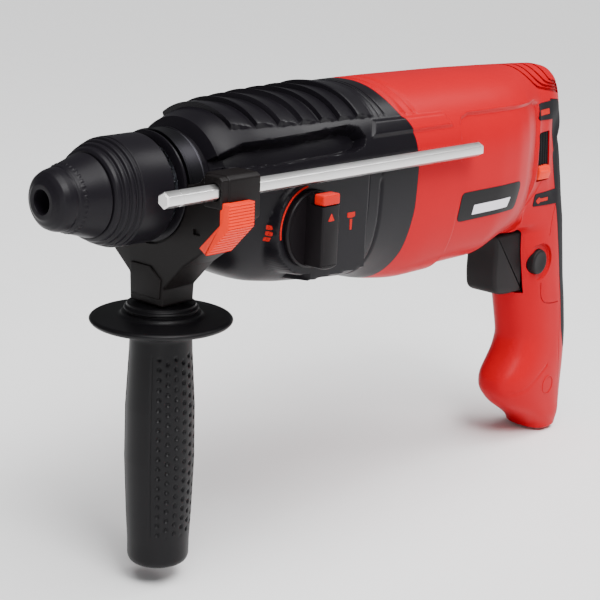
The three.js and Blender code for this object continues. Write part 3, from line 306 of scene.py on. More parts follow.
@dataclass(frozen=True)
class Winding:
    """Varnished magnet wire: fine ridges across the coil, with painted shade in the troughs between the
    turns.
    """

    name: str
    tone: tuple[float, float, float, float]
    pitch: float = 0.0009

    def make(self) -> bpy.types.Material:
        """Builds the material: a sine along X gives each turn of wire and paints shade between the turns,
        noise gives the varnish.

        Returns:
            The material.
        """
        tree = Tree(self.name)
        point, along, side, _ = tree.place()
        turn = (along + side.size() * 0.4).wave(self.pitch)
        varnish = tree.noise(point, 140.0, 4.0)
        # painted shade: the copper tone at 0.3 in the troughs of the sine, between the turns of wire; the
        # varnish noise varies it at random
        tree.feed(
            tree.shader.inputs["Base Color"],
            tree.blend(turn * 0.6 + varnish * 0.4, shade(self.tone, 0.3), self.tone),
        )
        tree.feed(tree.shader.inputs["Roughness"], varnish * 0.25 + 0.22)
        tree.feed(tree.shader.inputs["Normal"], tree.bump(turn, 0.5, 0.0002))
        tree.shader.inputs["Metallic"].default_value = 0.75
        return tree.material


@dataclass(frozen=True)
class Laminated:
    """A stack of pressed sheets, seen as fine lines across X."""

    name: str
    tone: tuple[float, float, float, float]
    pitch: float = 0.001

    def make(self) -> bpy.types.Material:
        """Builds the material: a sine along X for the sheets, noise for the rust bloom.

        Returns:
            The material.
        """
        tree = Tree(self.name)
        point, along, *_ = tree.place()
        sheet = along.wave(self.pitch)
        bloom = tree.noise(point, 90.0, 5.0, 0.65)
        tree.feed(
            tree.shader.inputs["Base Color"],
            tree.blend(bloom.over(0.5, 0.75), self.tone, colour(96, 62, 44)),
        )
        tree.feed(tree.shader.inputs["Roughness"], bloom * 0.3 + 0.3)
        tree.feed(tree.shader.inputs["Normal"], tree.bump(sheet, 0.6, 0.0001))
        tree.shader.inputs["Metallic"].default_value = 0.8
        return tree.material


BLACK = colour(17, 15, 19)
FINISHES = {
    finish.name: finish
    for finish in (
        Moulded("case_black", BLACK, 0.32, 0.32, 2400.0, 0.0, 0.14),
        Moulded("louvre_black", colour(14, 13, 15), 0.5, 0.3, 2400.0, 0.0, 0.1),
        Moulded("clamp_black", colour(17, 14, 14), 0.45, 0.4, 2000.0, 0.0, 0.14),
        Moulded("chuck_rubber", colour(19, 17, 21), 0.36, 0.3, 2200.0, 0.0, 0.12),
        Moulded("grip_black", colour(13, 12, 14), 0.4, 0.4, 1800.0, 0.0, 0.16),
        Moulded("soft_black", colour(26, 24, 27), 0.55, 0.55, 1500.0, 0.0, 0.08),
        Moulded("switch_grey", colour(26, 23, 24), 0.5, 0.45, 2000.0, 0.0, 0.14),
        Moulded("knob_black", colour(18, 15, 17), 0.36, 0.35, 2200.0, 0.0, 0.12),
        Moulded("case_red", (0.44, 0.0004, 0.008, 1.0), 0.34, 0.22, 2400.0, 0.0, 0.06, 0.04),
        Moulded("button_red", (0.52, 0.010, 0.006, 1.0), 0.34, 0.2, 2400.0, 0.0, 0.08, 0.05),
        Moulded("button_orange", (0.80, 0.026, 0.006, 1.0), 0.34, 0.2, 2400.0, 0.0, 0.08, 0.05),
        Moulded("print_red", (0.45, 0.012, 0.008, 1.0), 0.45, 0.1, 3000.0, 0.0, 0.06, 0.08),
        Moulded("print_white", colour(228, 222, 232), 0.4, 0.08, 3000.0, 0.1, 0.5, 0.02),
        Moulded("plate_black", colour(16, 14, 16), 0.34, 0.06, 3000.0, 0.0, 0.1, 0.05),
        Metal("ground_steel", (0.56, 0.57, 0.6, 1.0), 0.26),
        Metal("oiled_steel", (0.2, 0.21, 0.23, 1.0), 0.32, Lay.TURNED, 0.35, 0.5),
        Metal("strap_steel", (0.025, 0.024, 0.028, 1.0), 0.42, Lay.TURNED, 0.2, 0.3),
        Metal("drawn_bar", (0.86, 0.85, 0.84, 1.0), 0.3, Lay.ALONG_X, 0.25, 0.12),
        Metal("cast_alloy", (0.58, 0.59, 0.61, 1.0), 0.42, Lay.CAST, 0.5, 0.3),
        Metal("sheet_brass", (0.62, 0.42, 0.14, 1.0), 0.3, Lay.ALONG_Z, 0.25, 0.35),
        Metal("screw_steel", (0.3, 0.3, 0.32, 1.0), 0.34, Lay.CAST, 0.3, 0.4),
        Winding("magnet_wire", (0.5, 0.19, 0.07, 1.0)),
        Laminated("core_sheets", (0.2, 0.2, 0.22, 1.0)),
        Moulded("brush_carbon", colour(44, 43, 44), 0.55, 0.6, 900.0, 0.0, 0.5),
        Moulded("fan_nylon", colour(38, 38, 42), 0.4, 0.3, 2000.0),
        Moulded("seal_rubber", colour(28, 26, 26), 0.62, 0.4, 1400.0, 0.0, 0.3),
    )
}


class Shelf:
    """The finishes in use, each built once."""

    made: dict[str, bpy.types.Material] = {}

    @classmethod
    def take(cls, name: str) -> bpy.types.Material:
        """The material of that finish.

        Args:
            name: a name in FINISHES.
        Returns:
            The material, built once.
        """
        if name not in cls.made:
            cls.made[name] = FINISHES[name].make()
        return cls.made[name]


# ---- surfaces ----------------------------------------------------------------------


def ease(t: Array | float) -> Array:
    """0 below 0, 1 above 1, and 3t^2 - 2t^3 between."""
    t = np.clip(t, 0.0, 1.0)
    return t * t * (3 - 2 * t)


def drawn(rows: Sequence[Sequence[float]], at: Array, spread: float = 3.0) -> list[Array]:
    """Sizes read from rows at many stations, each averaged with a bell-shaped window so that no kink stays.

    Args:
        rows: a station and its sizes, one row each.
        at: the stations wanted.
        spread: width of the window.
    Returns:
        One array for each size column.
    """
    table = np.asarray(sorted(map(tuple, rows)), float)
    steps = np.linspace(-2.2, 2.2, 19)
    weights = np.exp(-(steps**2) / 2)
    sample = np.asarray(at, float)[..., None] + steps * spread
    return [
        (np.interp(sample, table[:, 0], table[:, k]) * weights).sum(-1) / weights.sum()
        for k in range(1, table.shape[1])
    ]


def inside(x: Array, z: Array, outline: Sequence[Sequence[float]]) -> Array:
    """Signed distance to a closed outline, positive inside.

    Args:
        x, z: the points.
        outline: the corners, in order.
    Returns:
        The distance to the nearest edge, with its sign from the count of edges crossed.
    """
    corners = np.asarray(outline, float)
    ends = np.roll(corners, -1, axis=0)
    best = np.full(np.shape(x), 1e9)
    odd = np.zeros(np.shape(x), bool)
    for (ax, az), (bx, bz) in zip(corners, ends):
        ex, ez = bx - ax, bz - az
        t = np.clip(((x - ax) * ex + (z - az) * ez) / (ex * ex + ez * ez), 0, 1)
        best = np.minimum(best, np.hypot(x - ax - t * ex, z - az - t * ez))
        if bz != az:
            crossing = ((az > z) != (bz > z)) & (x < ex * (z - az) / ez + ax)
            odd ^= crossing
    return np.where(odd, best, -best)


def near(x: Array, z: Array, path: Sequence[Sequence[float]]) -> Array:
    """Distance to an open path of straight runs.

    Args:
        x, z: the points.
        path: the corners, in order.
    Returns:
        The distance to the nearest run.
    """
    points = np.asarray(path, float)
    best = np.full(np.shape(x), 1e9)
    for (ax, az), (bx, bz) in zip(points[:-1], points[1:]):
        ex, ez = bx - ax, bz - az
        t = np.clip(((x - ax) * ex + (z - az) * ez) / (ex * ex + ez * ez), 0, 1)
        best = np.minimum(best, np.hypot(x - ax - t * ex, z - az - t * ez))
    return best


def oval(phi: Array, power: Array | float) -> tuple[Array, Array]:
    """A unit superellipse: its radius is (|cos|^n + |sin|^n)^(-1/n).

    Args:
        phi: polar angles.
        power: the power n; 2 is a circle.
    Returns:
        The two coordinates.
    """
    c, s = np.cos(phi), np.sin(phi)
    radius = (np.abs(c) ** power + np.abs(s) ** power) ** (-1.0 / power)
    return radius * c, radius * s


def normals(points: Array) -> Array:
    """Unit normals of a grid, by the cross product of its two tangents.

    Args:
        points: rows x columns x 3, closed round its columns.
    Returns:
        Normals that face away from each row's centre.
    """
    along = np.gradient(points, axis=0)
    around = np.roll(points, -1, axis=1) - np.roll(points, 1, axis=1)
    n = np.cross(around, along)
    n /= np.maximum(np.linalg.norm(n, axis=2, keepdims=True), 1e-9)
    centre = points.mean(axis=1, keepdims=True)
    sign = np.sign((n * (points - centre)).sum(axis=(1, 2), keepdims=True))
    return n * np.where(sign == 0, 1, sign)


def rounded(outline: Sequence[Sequence[float]], radius: float, count: int = 5) -> Array:
    """A closed outline with each corner turned into a curve that touches both of its edges.

    Args:
        outline: the corners, in order.
        radius: how large the round is.
        count: points to a corner.
    Returns:
        The points of the softened outline.
    """
    corners = np.asarray(outline, float)
    done = []
    for before, corner, after in zip(np.roll(corners, 1, axis=0), corners, np.roll(corners, -1, axis=0)):
        a, b = before - corner, after - corner
        la, lb = np.linalg.norm(a), np.linalg.norm(b)
        cosine = float(np.clip(a @ b / (la * lb), -1, 1))
        half = math.acos(cosine) / 2
        reach = min(radius / max(math.tan(half), 1e-6), la * 0.48, lb * 0.48)
        first, last = corner + a / la * reach, corner + b / lb * reach
        t = np.linspace(0, 1, count)[:, None]
        done.append((1 - t) ** 2 * first + 2 * t * (1 - t) * corner + t**2 * last)
    return np.concatenate(done)


class Side(Enum):
    """The axis along which a slab is thick."""

    X = 0
    Y = 1
    Z = 2

    def lay(self, flat: Array, height: Array) -> Array:
        """Puts two flat coordinates and a height into X, Y, Z.

        Args:
            flat: two coordinates, in axis order.
            height: the one along this side.
        Returns:
            Points in X, Y, Z.
        """
        parts = [flat[..., 0], flat[..., 1]]
        parts.insert(self.value, height)
        return np.stack(np.broadcast_arrays(*parts), axis=-1)


class Piece:
    """One closed mesh of the shown model."""

    def __init__(self, name: str, points: Array, wrap_rows: bool = False, flat_ends: bool = False) -> None:
        """Makes a mesh from a grid closed round its second parameter.

        Args:
            name: the piece's name.
            points: rows x columns x 3, in millimetres.
            wrap_rows: the last row joins the first; otherwise both end rows are capped at their centre.
            flat_ends: each end row lies in a plane and is capped by one face, whatever its outline.
        """
        rows, columns, _ = points.shape
        index = np.arange(rows * columns).reshape(rows, columns)
        if wrap_rows:
            index = np.vstack([index, index[:1]])
        a, b = index[:-1], index[1:]
        quads = np.stack([a, b, np.roll(b, -1, 1), np.roll(a, -1, 1)], axis=-1).reshape(-1, 4)
        flat = points.reshape(-1, 3)
        faces = quads.tolist()
        if flat_ends:
            faces += [index[0].tolist(), index[-1][::-1].tolist()]
        elif not wrap_rows:
            flat = np.vstack([flat, points[0].mean(0), points[-1].mean(0)])
            first, last = rows * columns, rows * columns + 1
            ring = np.arange(columns)
            start = np.stack([np.full(columns, first), index[0][ring], np.roll(index[0], -1)], axis=-1)
            end = np.stack([np.full(columns, last), np.roll(index[-1], -1), index[-1][ring]], axis=-1)
            faces += start.tolist() + end.tolist()
        mesh = bpy.data.meshes.new(name)
        mesh.from_pydata((flat * MM).tolist(), [], faces)
        mesh.update()
        self.object = bpy.data.objects.new(name, mesh)
        bpy.context.scene.collection.objects.link(self.object)
        if self.volume() < 0:
            mesh.flip_normals()

    @property
    def mesh(self) -> bpy.types.Mesh:
        """The piece's mesh."""
        return self.object.data

    def volume(self) -> float:
        """A sixth of the sum of triple products over the triangles.

        Returns:
            The volume, negative when the faces turn inward.
        """
        self.mesh.calc_loop_triangles()
        tris = np.zeros(len(self.mesh.loop_triangles) * 3, np.int32)
        self.mesh.loop_triangles.foreach_get("vertices", tris)
        co = np.zeros(len(self.mesh.vertices) * 3, np.float32)
        self.mesh.vertices.foreach_get("co", co)
        p = co.reshape(-1, 3).astype(float)[tris.reshape(-1, 3)]
        return float(np.einsum("ij,ij->i", p[:, 0], np.cross(p[:, 1], p[:, 2])).sum() / 6)

    def carve(self, *cutters: "Piece", operation: str = "DIFFERENCE") -> "Piece":
        """Cuts with, keeps within, or joins the cutters, which are then removed.

        Args:
            cutters: closed pieces.
            operation: DIFFERENCE, INTERSECT or UNION.
        Returns:
            The same piece.
        """
        for cutter in cutters:
            for solver in ("MANIFOLD", "EXACT"):
                change = self.object.modifiers.new("trim", "BOOLEAN")
                change.operation, change.object, change.solver = operation, cutter.object, solver
                result = bpy.data.meshes.new_from_object(
                    self.object.evaluated_get(bpy.context.evaluated_depsgraph_get())
                )
                self.object.modifiers.clear()
                if len(result.polygons) > 3:
                    old, self.object.data = self.object.data, result
                    result.name = old.name
                    bpy.data.meshes.remove(old)
                    break
                bpy.data.meshes.remove(result)
            else:
                LOG.warning("%s: a cut left nothing", self.object.name)
            cutter.discard()
        return self

    def copy(self, name: str) -> "Piece":
        """A second piece with the same mesh.

        Args:
            name: its name.
        Returns:
            The new piece.
        """
        twin = Piece.__new__(Piece)
        twin.object = bpy.data.objects.new(name, self.mesh.copy())
        bpy.context.scene.collection.objects.link(twin.object)
        return twin

    def discard(self) -> None:
        """Removes the piece."""
        mesh = self.mesh
        bpy.data.objects.remove(self.object)
        bpy.data.meshes.remove(mesh)

    def finish(
        self, finish: str, body: str, slot: str, replaces: Sequence[str] = (), crease: float = 32.0
    ) -> "Piece":
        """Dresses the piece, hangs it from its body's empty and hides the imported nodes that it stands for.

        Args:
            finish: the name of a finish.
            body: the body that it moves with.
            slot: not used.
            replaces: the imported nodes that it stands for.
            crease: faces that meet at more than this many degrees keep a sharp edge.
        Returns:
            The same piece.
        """
        self.mesh.materials.clear()
        self.mesh.materials.append(Shelf.take(finish))
        self.mesh.polygons.foreach_set("material_index", np.zeros(len(self.mesh.polygons), np.int32))
        self.mesh.shade_smooth()
        self.mesh.set_sharp_from_angle(angle=math.radians(crease))
        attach(self.object, body)
        if replaces:
            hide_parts(*replaces)
        LOG.info("%s: %d faces on %s", self.object.name, len(self.mesh.polygons), body)
        return self


def lathe(
    name: str, profile: Sequence[Sequence[float]], centre: Sequence[float], side: Side, count: int = 96,
    change: Callable[[Array, Array, Array], Array] | None = None,
) -> Piece:
    """A profile of (place along the axis, radius) carried round an axis.

    Args:
        name: the piece's name.
        profile: the outline from one end to the other; a profile that closes on itself makes a ring.
        centre: a point on the axis.
        side: the axis.
        count: columns.
        change: the radius from (place, radius, angle), for flutes, dimples and ribs.
    Returns:
        The piece.
    """
    rows = np.asarray(profile, float)
    closed = bool(np.allclose(rows[0], rows[-1]))
    if closed:
        rows = rows[:-1]
    angle = np.linspace(0, 2 * math.pi, count, endpoint=False)[None, :]
    place, radius = rows[:, :1] + 0 * angle, rows[:, 1:2] + 0 * angle
    if change:
        radius = change(place, radius, angle + 0 * place)
    flat = np.stack([radius * np.cos(angle), radius * np.sin(angle)], axis=-1)
    points = side.lay(flat, place)
    offset = np.array(centre, float)
    offset[side.value] = 0
    return Piece(name, points + offset, wrap_rows=closed)


def fine(profile: Sequence[Sequence[float]], step: float = 0.6) -> Array:
    """A profile with extra points along its straight runs.

    Args:
        profile: the corners, in order.
        step: no point is further than this from the next.
    Returns:
        The denser profile.
    """
    rows = np.asarray(profile, float)
    out = [rows[:1]]
    for a, b in zip(rows[:-1], rows[1:]):
        count = max(1, int(np.ceil(np.linalg.norm(b - a) / step)))
        out.append(a + (b - a) * (np.arange(1, count + 1) / count)[:, None])
    return np.concatenate(out)


def soften(profile: Sequence[Sequence[float]], radius: float = 0.5, count: int = 4) -> Array:
    """An open profile with each inner corner rounded.

    Args:
        profile: the corners, in order.
        radius: how large the round is.
        count: points to a corner.
    Returns:
        The points of the softened profile.
    """
    rows = np.asarray(profile, float)
    done = [rows[:1]]
    for before, corner, after in zip(rows[:-2], rows[1:-1], rows[2:]):
        a, b = before - corner, after - corner
        la, lb = np.linalg.norm(a), np.linalg.norm(b)
        ra, rb = min(radius, la * 0.45), min(radius, lb * 0.45)
        first, last = corner + a / la * ra, corner + b / lb * rb
        t = np.linspace(0, 1, count)[:, None]
        done.append((1 - t) ** 2 * first + 2 * t * (1 - t) * corner + t**2 * last)
    done.append(rows[-1:])
    return np.concatenate(done)


def slab(
    name: str, outline: Array, side: Side, low: float | Array, high: float | Array, round_by: float = 0.4,
    both: bool = True,
) -> Piece:
    """An outline made thick along an axis, with quarter-round edges.

    Each row is the outline moved in along its own normals by (1 - cos) of the edge radius and set back
    from the face by (1 - sin) of it.

    Args:
        name: the piece's name.
        outline: closed outline, its two flat coordinates in axis order.
        side: the axis of the thickness.
        low, high: the two faces, numbers or one value a point.
        round_by: edge radius.
        both: the low edge is rounded too.
    Returns:
        The piece.
    """
    line = np.asarray(outline, float)
    ahead, behind = np.roll(line, -1, 0) - line, line - np.roll(line, 1, 0)

    def unit(v: Array) -> Array:
        """Each row divided by its length."""
        return v / np.maximum(np.linalg.norm(v, axis=1, keepdims=True), 1e-9)

    tangent = unit(unit(ahead) + unit(behind))
    area = 0.5 * np.sum(line[:, 0] * np.roll(line[:, 1], -1) - np.roll(line[:, 0], -1) * line[:, 1])
    normal = np.stack([tangent[:, 1], -tangent[:, 0]], axis=1) * (1 if area > 0 else -1)
    turn = np.radians(np.linspace(0, 90, 5))
    inset, drop = round_by * (1 - np.cos(turn)), round_by * (1 - np.sin(turn))
    top = [(i, high - d) for i, d in zip(inset, drop)] if round_by else [(0.0, high)]
    bottom = [(i, low + d) for i, d in zip(inset[::-1], drop[::-1])] if both and round_by else [(0.0, low)]
    rows = [side.lay(line - normal * i, h + 0 * line[:, 0]) for i, h in bottom + top]
    return Piece(name, np.stack(rows), flat_ends=True)


def ribbon(
    name: str, path: Array, side: Side, width: float, low: Array | float, high: Array | float
) -> Piece:
    """A square-sectioned strip along an open path, used to cut a groove.

    Its section has the corners (plus or minus half the width across the path) x (low, high).

    Args:
        name: the piece's name.
        path: points in the plane across `side`.
        side: the axis of the strip's height.
        width: the strip's width.
        low, high: its two faces, numbers or one value a point.
    Returns:
        The piece.
    """
    line = np.asarray(path, float)
    tangent = np.gradient(line, axis=0)
    tangent /= np.linalg.norm(tangent, axis=1, keepdims=True)
    across = np.stack([-tangent[:, 1], tangent[:, 0]], axis=1) * width / 2
    low, high = low + 0 * line[:, 0], high + 0 * line[:, 0]
    corners = [(across, low), (across, high), (-across, high), (-across, low)]
    points = np.stack([side.lay(line + a, h) for a, h in corners], axis=1)
    return Piece(name, points)


def tube(name: str, path: Array, radius: float, count: int = 10) -> Piece:
    """A round bead along an open path in space.

    Args:
        name: the piece's name.
        path: points of the centre line.
        radius: the bead's radius.
        count: points round it.
    Returns:
        The piece.
    """
    line = np.asarray(path, float)
    tangent = np.gradient(line, axis=0)
    tangent /= np.linalg.norm(tangent, axis=1, keepdims=True)
    guide = np.array([0.0, 1.0, 0.0]) if abs(tangent[:, 1]).max() < 0.9 else np.array([0.0, 0.0, 1.0])
    first = np.cross(tangent, guide)
    first /= np.linalg.norm(first, axis=1, keepdims=True)
    second = np.cross(tangent, first)
    angle = np.linspace(0, 2 * math.pi, count, endpoint=False)[None, :, None]
    points = line[:, None] + radius * (np.cos(angle) * first[:, None] + np.sin(angle) * second[:, None])
    return Piece(name, points)


class Skin:
    """An outer surface that trim is laid on.

    It gives Y at any X and Z by the tangent planes of the five nearest points, weighted by closeness.
    """

    def __init__(self, points: Array, directions: Array) -> None:
        """Keeps the points and unit normals that face sideways."""
        flat, normal = points.reshape(-1, 3), directions.reshape(-1, 3)
        keep = np.abs(normal[:, 1]) > 0.15
        self.points, self.normals = flat[keep], normal[keep]

    def at(self, x: Array, z: Array, hand: int = 1) -> Array:
        """Y on the surface at each (x, z).

        Args:
            x, z: the places.
            hand: 1 for the left side, -1 for the right.
        Returns:
            The values of Y.
        """
        mine = self.points[:, 1] * hand > 0
        p, n = self.points[mine], self.normals[mine]
        x, z = np.atleast_1d(np.asarray(x, float)), np.atleast_1d(np.asarray(z, float))
        gap = (x[:, None] - p[None, :, 0]) ** 2 + (z[:, None] - p[None, :, 2]) ** 2
        near_by = np.argpartition(gap, 5, axis=1)[:, :5]
        q, m = p[near_by], n[near_by]
        y = q[..., 1] - (
            m[..., 0] * (x[:, None] - q[..., 0]) + m[..., 2] * (z[:, None] - q[..., 2])
        ) / m[..., 1]
        weight = 1 / (np.take_along_axis(gap, near_by, axis=1) + 0.05)
        return (y * weight).sum(1) / weight.sum(1)

    def sticker(
        self, name: str, outline: Array, sunk: float, proud: float, hand: int = 1, round_by: float = 0.15
    ) -> "Piece":
        """A thin slab that follows the surface, from `sunk` below it to `proud` above it.

        Its faces are the outline shrunk in steps to its centre, each ring laid on the surface.

        Args:
            name: the piece's name.
            outline: closed outline in X and Z.
            sunk: depth below the surface.
            proud: height above it.
            hand: 1 for the left side, -1 for the right.
            round_by: radius of the upper edge.
        Returns:
            The piece.
        """
        line = fine(np.vstack([outline, outline[:1]]), 1.5)[:-1]
        middle = (line.max(0) + line.min(0)) / 2
        steps = np.linspace(0.02, 1, 14)
        width = np.ptp(line, axis=0).max()
        face = [(k, proud) for k in steps[:-1]] + [(1 - 2 * round_by / width, proud), (1.0, proud - round_by)]
        rows = []
        for share, height in [(k, -sunk) for k in steps] + face[::-1]:
            flat = middle + (line - middle) * share
            rows.append(
                np.column_stack(
                    [flat[:, 0], self.at(flat[:, 0], flat[:, 1], hand) + hand * height, flat[:, 1]]
                )
            )
        return Piece(name, np.stack(rows))


# ---- housings ----------------------------------------------------------------------


@dataclass(frozen=True)
class Body:
    """The section that both housings share along X."""

    rows: tuple = ((-17, 26.6, 26.6, -26.6), (-24, 30, 29.5, -32), (-35, 33.8, 31.4, -41),
                   (-47.5, 36.2, 31.9, -46.4), (-62, 37.5, 33, -48.6), (-93.5, 38, 34.4, -52),
                   (-110, 38, 36.1, -53.4), (-130, 38, 36.4, -57), (-145, 38, 36.7, -60),
                   (-205, 38, 36.6, -60), (-222, 36.8, 36.3, -54.5), (-236, 33, 36.2, -53),
                   (-250, 26, 36, -52.3), (-262, 19.8, 35.8, -51), (-277, 17.8, 35.3, -40),
                   (-288, 14.8, 33.2, -22), (-297, 10.6, 28.4, 0), (-305, 4.5, 18.5, 10),)
    edge: tuple = ((-60, -122), (-52, -124.5), (-40, -129), (-20, -132.5), (0, -133.4), (12, -132.8),
                   (18, -130.5), (24, -126), (31, -122.6), (38, -121),)
    nominal_edge: float = -130.0

    def ring(self, x: Array, phi: Array) -> Array:
        """Sections at stations x: y = half cos and z = centre + (up or down) sin of a superellipse.

        The power grows from 2 at the neck to 2.25 above and 3.1 below. The centre is 0.4 of the mean height.

        Args:
            x: stations along the body.
            phi: polar angles round it.
        Returns:
            Stations x angles x 3.
        """
        half, top, bottom = (v[:, None] for v in drawn(self.rows, x, 3.2))
        mean = (top + bottom) / 2
        centre = np.where(mean < 0, 0.4 * mean, mean)
        square = np.clip((-17.0 - x[:, None]) / 45.0, 0, 1)
        upper = np.sin(phi)[None, :] >= 0
        low = 0.9 + 0.2 * ease((-118.0 - x[:, None]) / 30.0)
        c, s = oval(phi[None, :], 2 + square * np.where(upper, 0.25, low))
        return np.stack(
            [
                x[:, None] + 0 * c, half * c, centre + np.where(upper, top - centre, centre - bottom) * s
            ], axis=-1
        )

    def half(self, x: Array) -> Array:
        """Half the body's width at stations x."""
        return drawn(self.rows, x, 3.2)[0]

    def bend_edge(self, points: Array, reach: float) -> Array:
        """Moves the rings near the joint along X so that they follow its wavy edge.

        Args:
            points: the grid.
            reach: the move fades out this far from the joint.
        Returns:
            The moved grid.
        """
        shift = drawn(self.edge, points[..., 2], 1.6)[0] - self.nominal_edge
        fade = 1 - ease(np.abs(points[..., 0] - self.nominal_edge) / reach)
        moved = points.copy()
        moved[..., 0] += shift * fade
        return moved

    @staticmethod
    def lug(x: Array, z: Array) -> Array:
        """Height of the raised bar on both flanks, which runs on from one housing to the next."""
        return 1.2 * ease(inside(x, z, ((-101, 14.5), (-106, 22.6), (-158, 22.2), (-164, 14.5))) / 2.0)


BODY = Body()
EDGE_REACH = 24.0  # how far from the joint of the two housings its wavy edge is felt


def columns(count: int) -> Array:
    """Angles round a section, closer together on the flanks at the height of the pocket.

    Args:
        count: how many.
    Returns:
        The angles, from 0 to below a full turn.
    """
    base = np.linspace(0, 2 * math.pi, 4001)
    lean = sum(
        np.exp(-(((base - c + math.pi) % (2 * math.pi) - math.pi) ** 2) / (2 * 0.3**2))
        for c in (0.42, math.pi - 0.42)
    )
    density = 1 + 1.4 * lean
    total = np.concatenate([[0], np.cumsum((density[1:] + density[:-1]) / 2)])
    return np.interp(np.arange(count) / count * total[-1], total, base)


@dataclass
class GearCase:
    """The black gear case: neck, slatted roof, flank pockets and the panel of the mode knob."""

    body: Body
    slat_front: float = -27.5
    slat_pitch: float = 11.6
    slat_count: int = 7
    slat_height: float = 2.3
    slat_foot: float = 23.2
    pocket: tuple = ((-15, 8.6), (-90, 10.6), (-96, 12.2), (-98.8, 16), (-96, 20.0), (-90, 21.4),
                     (-30, 18.4), (-15, 13.0))
    pocket_depth: float = 7.0
    knob: tuple = (-59.0, -19.0)
    boss_r: float = 21.5
    panel: tuple = ((-98, -43.5), (-59, -43.5), (-59, 2.5), (-98, 2.5))
    panel_y: float = 38.2
    wall: float = 2.7

    def slats(self, x: Array, z: Array) -> Array:
        """Height of the roof slats: each has a sharp front and slopes back to the roof.

        Args:
            x, z: the places.
        Returns:
            The heights.
        """
        place = (self.slat_front - x) / self.slat_pitch
        part = place - np.floor(place)
        shape = ease(part / 0.05) * (1 - 0.92 * np.minimum(part / 0.9, 1) ** 1.15)
        run = ease(place / 0.02) * ease((self.slat_count - place) / 0.02)
        return self.slat_height * shape * run * ease((z - self.slat_foot) / 0.9)

    def relief(self, points: Array) -> Array:
        """How far each point moves along its normal: slats, pockets, lug and grooves.

        Args:
            points: the grid before it is moved.
        Returns:
            The distances.
        """
        x, y, z = points[..., 0], points[..., 1], points[..., 2]
        flank = ease((np.abs(y) - 12) / 4)
        rise = self.slats(x, z)
        rise = rise - self.pocket_depth * flank * ease((inside(x, z, self.pocket) + 0.2) / 1.3)
        rise = rise + self.body.lug(x, z) * flank
        for line in (-113.5, -118.5):
            rise = rise - 0.6 * np.exp(-(((x - line) / 0.55) ** 2)) * ease((z - 22.8) / 1.2)
        low = ease((-2 - z) / 3) + ease((z + 2) / 3) * ease((6 - z) / 3)
        rise = rise - 0.55 * np.exp(-(((x + 106.5) / 0.9) ** 2)) * flank * low
        return rise - 0.8 * ease((x + 98.4) / 1.0) * ease((-97.4 - x) / 1.0) * ease((5 - z) / 2) * flank

    def face_panel(self, points: Array) -> Array:
        """Brings the knob's panel, a circle joined to a rectangle, out to one flat face on the left.

        Args:
            points: the outer grid.
        Returns:
            The moved grid.
        """
        x, y, z = points[..., 0], points[..., 1], points[..., 2]
        round_part = self.boss_r - np.hypot(x - self.knob[0], z - self.knob[1])
        within = np.maximum(round_part, inside(x, z, self.panel))
        push = ease((within + 0.3) / 1.6) * (y > 0)
        moved = points.copy()
        moved[..., 1] = y + push * (self.panel_y - y) * (y < self.panel_y + 0.5)
        return moved

    def build(self) -> Piece:
        """Makes the case and dresses it.

        Returns:
            The case, a shell whose outer and inner walls are one grid that closes on itself.
        """
        phi = columns(320)
        neck = ((-0.4, 22.4), (-0.7, 22.9), (-1.4, 22.9), (-1.75, 22.6), (-1.9, 21.5), (-9, 21.5),
                (-15.7, 21.5), (-16.0, 22.0))
        collar = np.array([[[x, r * math.cos(a), r * math.sin(a)] for a in phi] for x, r in neck])
        x = np.concatenate(
            [np.linspace(-16.6, -26, 14), np.linspace(-26.6, -110, 168), np.linspace(-110.8, -130, 26)]
        )
        base = self.body.ring(x, phi)
        base[0] = base[1] * (1, 0.96, 0.96) + (0.5, 0, 0)
        out = normals(base)
        outer = self.face_panel(base + out * self.relief(base)[..., None])
        rim = outer[-1:] * (1, 0.992, 0.992) - (0.35, 0, 0)
        outer = np.concatenate([outer, rim])
        skip = slice(None, None, 7)
        sunk = base - out * (
            self.wall + self.pocket_depth * 0.9 * ease((np.abs(base[..., 1]) - 20) / 6) * ease(
                (24 - np.abs(base[..., 2] - 15)) / 10
            )
        )[..., None]
        inner = sunk[skip][::-1]
        bore = np.array([[[x, 18.8 * math.cos(a), 18.8 * math.sin(a)] for a in phi] for x in (-15.0, -0.4)])
        grid = np.concatenate([collar, outer, inner, bore])
        grid = self.body.bend_edge(grid, EDGE_REACH)
        self.skin = Skin(
            self.body.bend_edge(outer, EDGE_REACH), out[np.minimum(np.arange(len(outer)), len(out) - 1)]
        )
        case = Piece("gear_case", grid, wrap_rows=True)
        hole = lathe("knob_hole", ((30, 8.2), (45, 8.2)), (self.knob[0], 0, self.knob[1]), Side.Y, 48)
        case.carve(hole)
        return case.finish("case_black", "housing", "black_plastic", ["gear_housing"])

    def marks(self) -> None:
        """The printed arc and the two signs of the mode knob, on the panel and the flank."""
        angle = np.radians(np.linspace(-8, 82, 40))
        path = np.stack([
            self.knob[0] + 18.4 * np.cos(angle), np.full(40, self.panel_y + 0.05),
            self.knob[1] + 18.4 * np.sin(angle)
        ], axis=1)
        tube("mode_arc", path, 0.42).finish("print_red", "housing", "red_plastic")
        hammer = rounded(
            [(-88.6, -17.6), (-88.6, -15.6), (-83.4, -15.6), (-83.4, -17.6), (-85, -18), (-87, -18)], 0.3
        )
        shank = rounded([(-86.8, -18.6), (-85.2, -18.6), (-85.4, -23.4), (-86.6, -23.4)], 0.3)
        for name, line in (("hammer_head_sign", hammer), ("hammer_shank_sign", shank)):
            slab(name, line, Side.Y, self.panel_y - 0.3, self.panel_y + 0.12, 0.05).finish(
                "print_red", "housing", "red_plastic"
            )
        for k in range(3):
            z = -15.6 - 2.6 * k
            line = rounded([(-38.2, z), (-38.2, z - 1.9), (-37.3, z - 1.9), (-37.3, z)], 0.4)
            self.skin.sticker(f"drill_sign_{k + 1}", line, 0.4, 0.12, 1, 0.05).finish(
                "print_red", "housing", "red_plastic"
            )


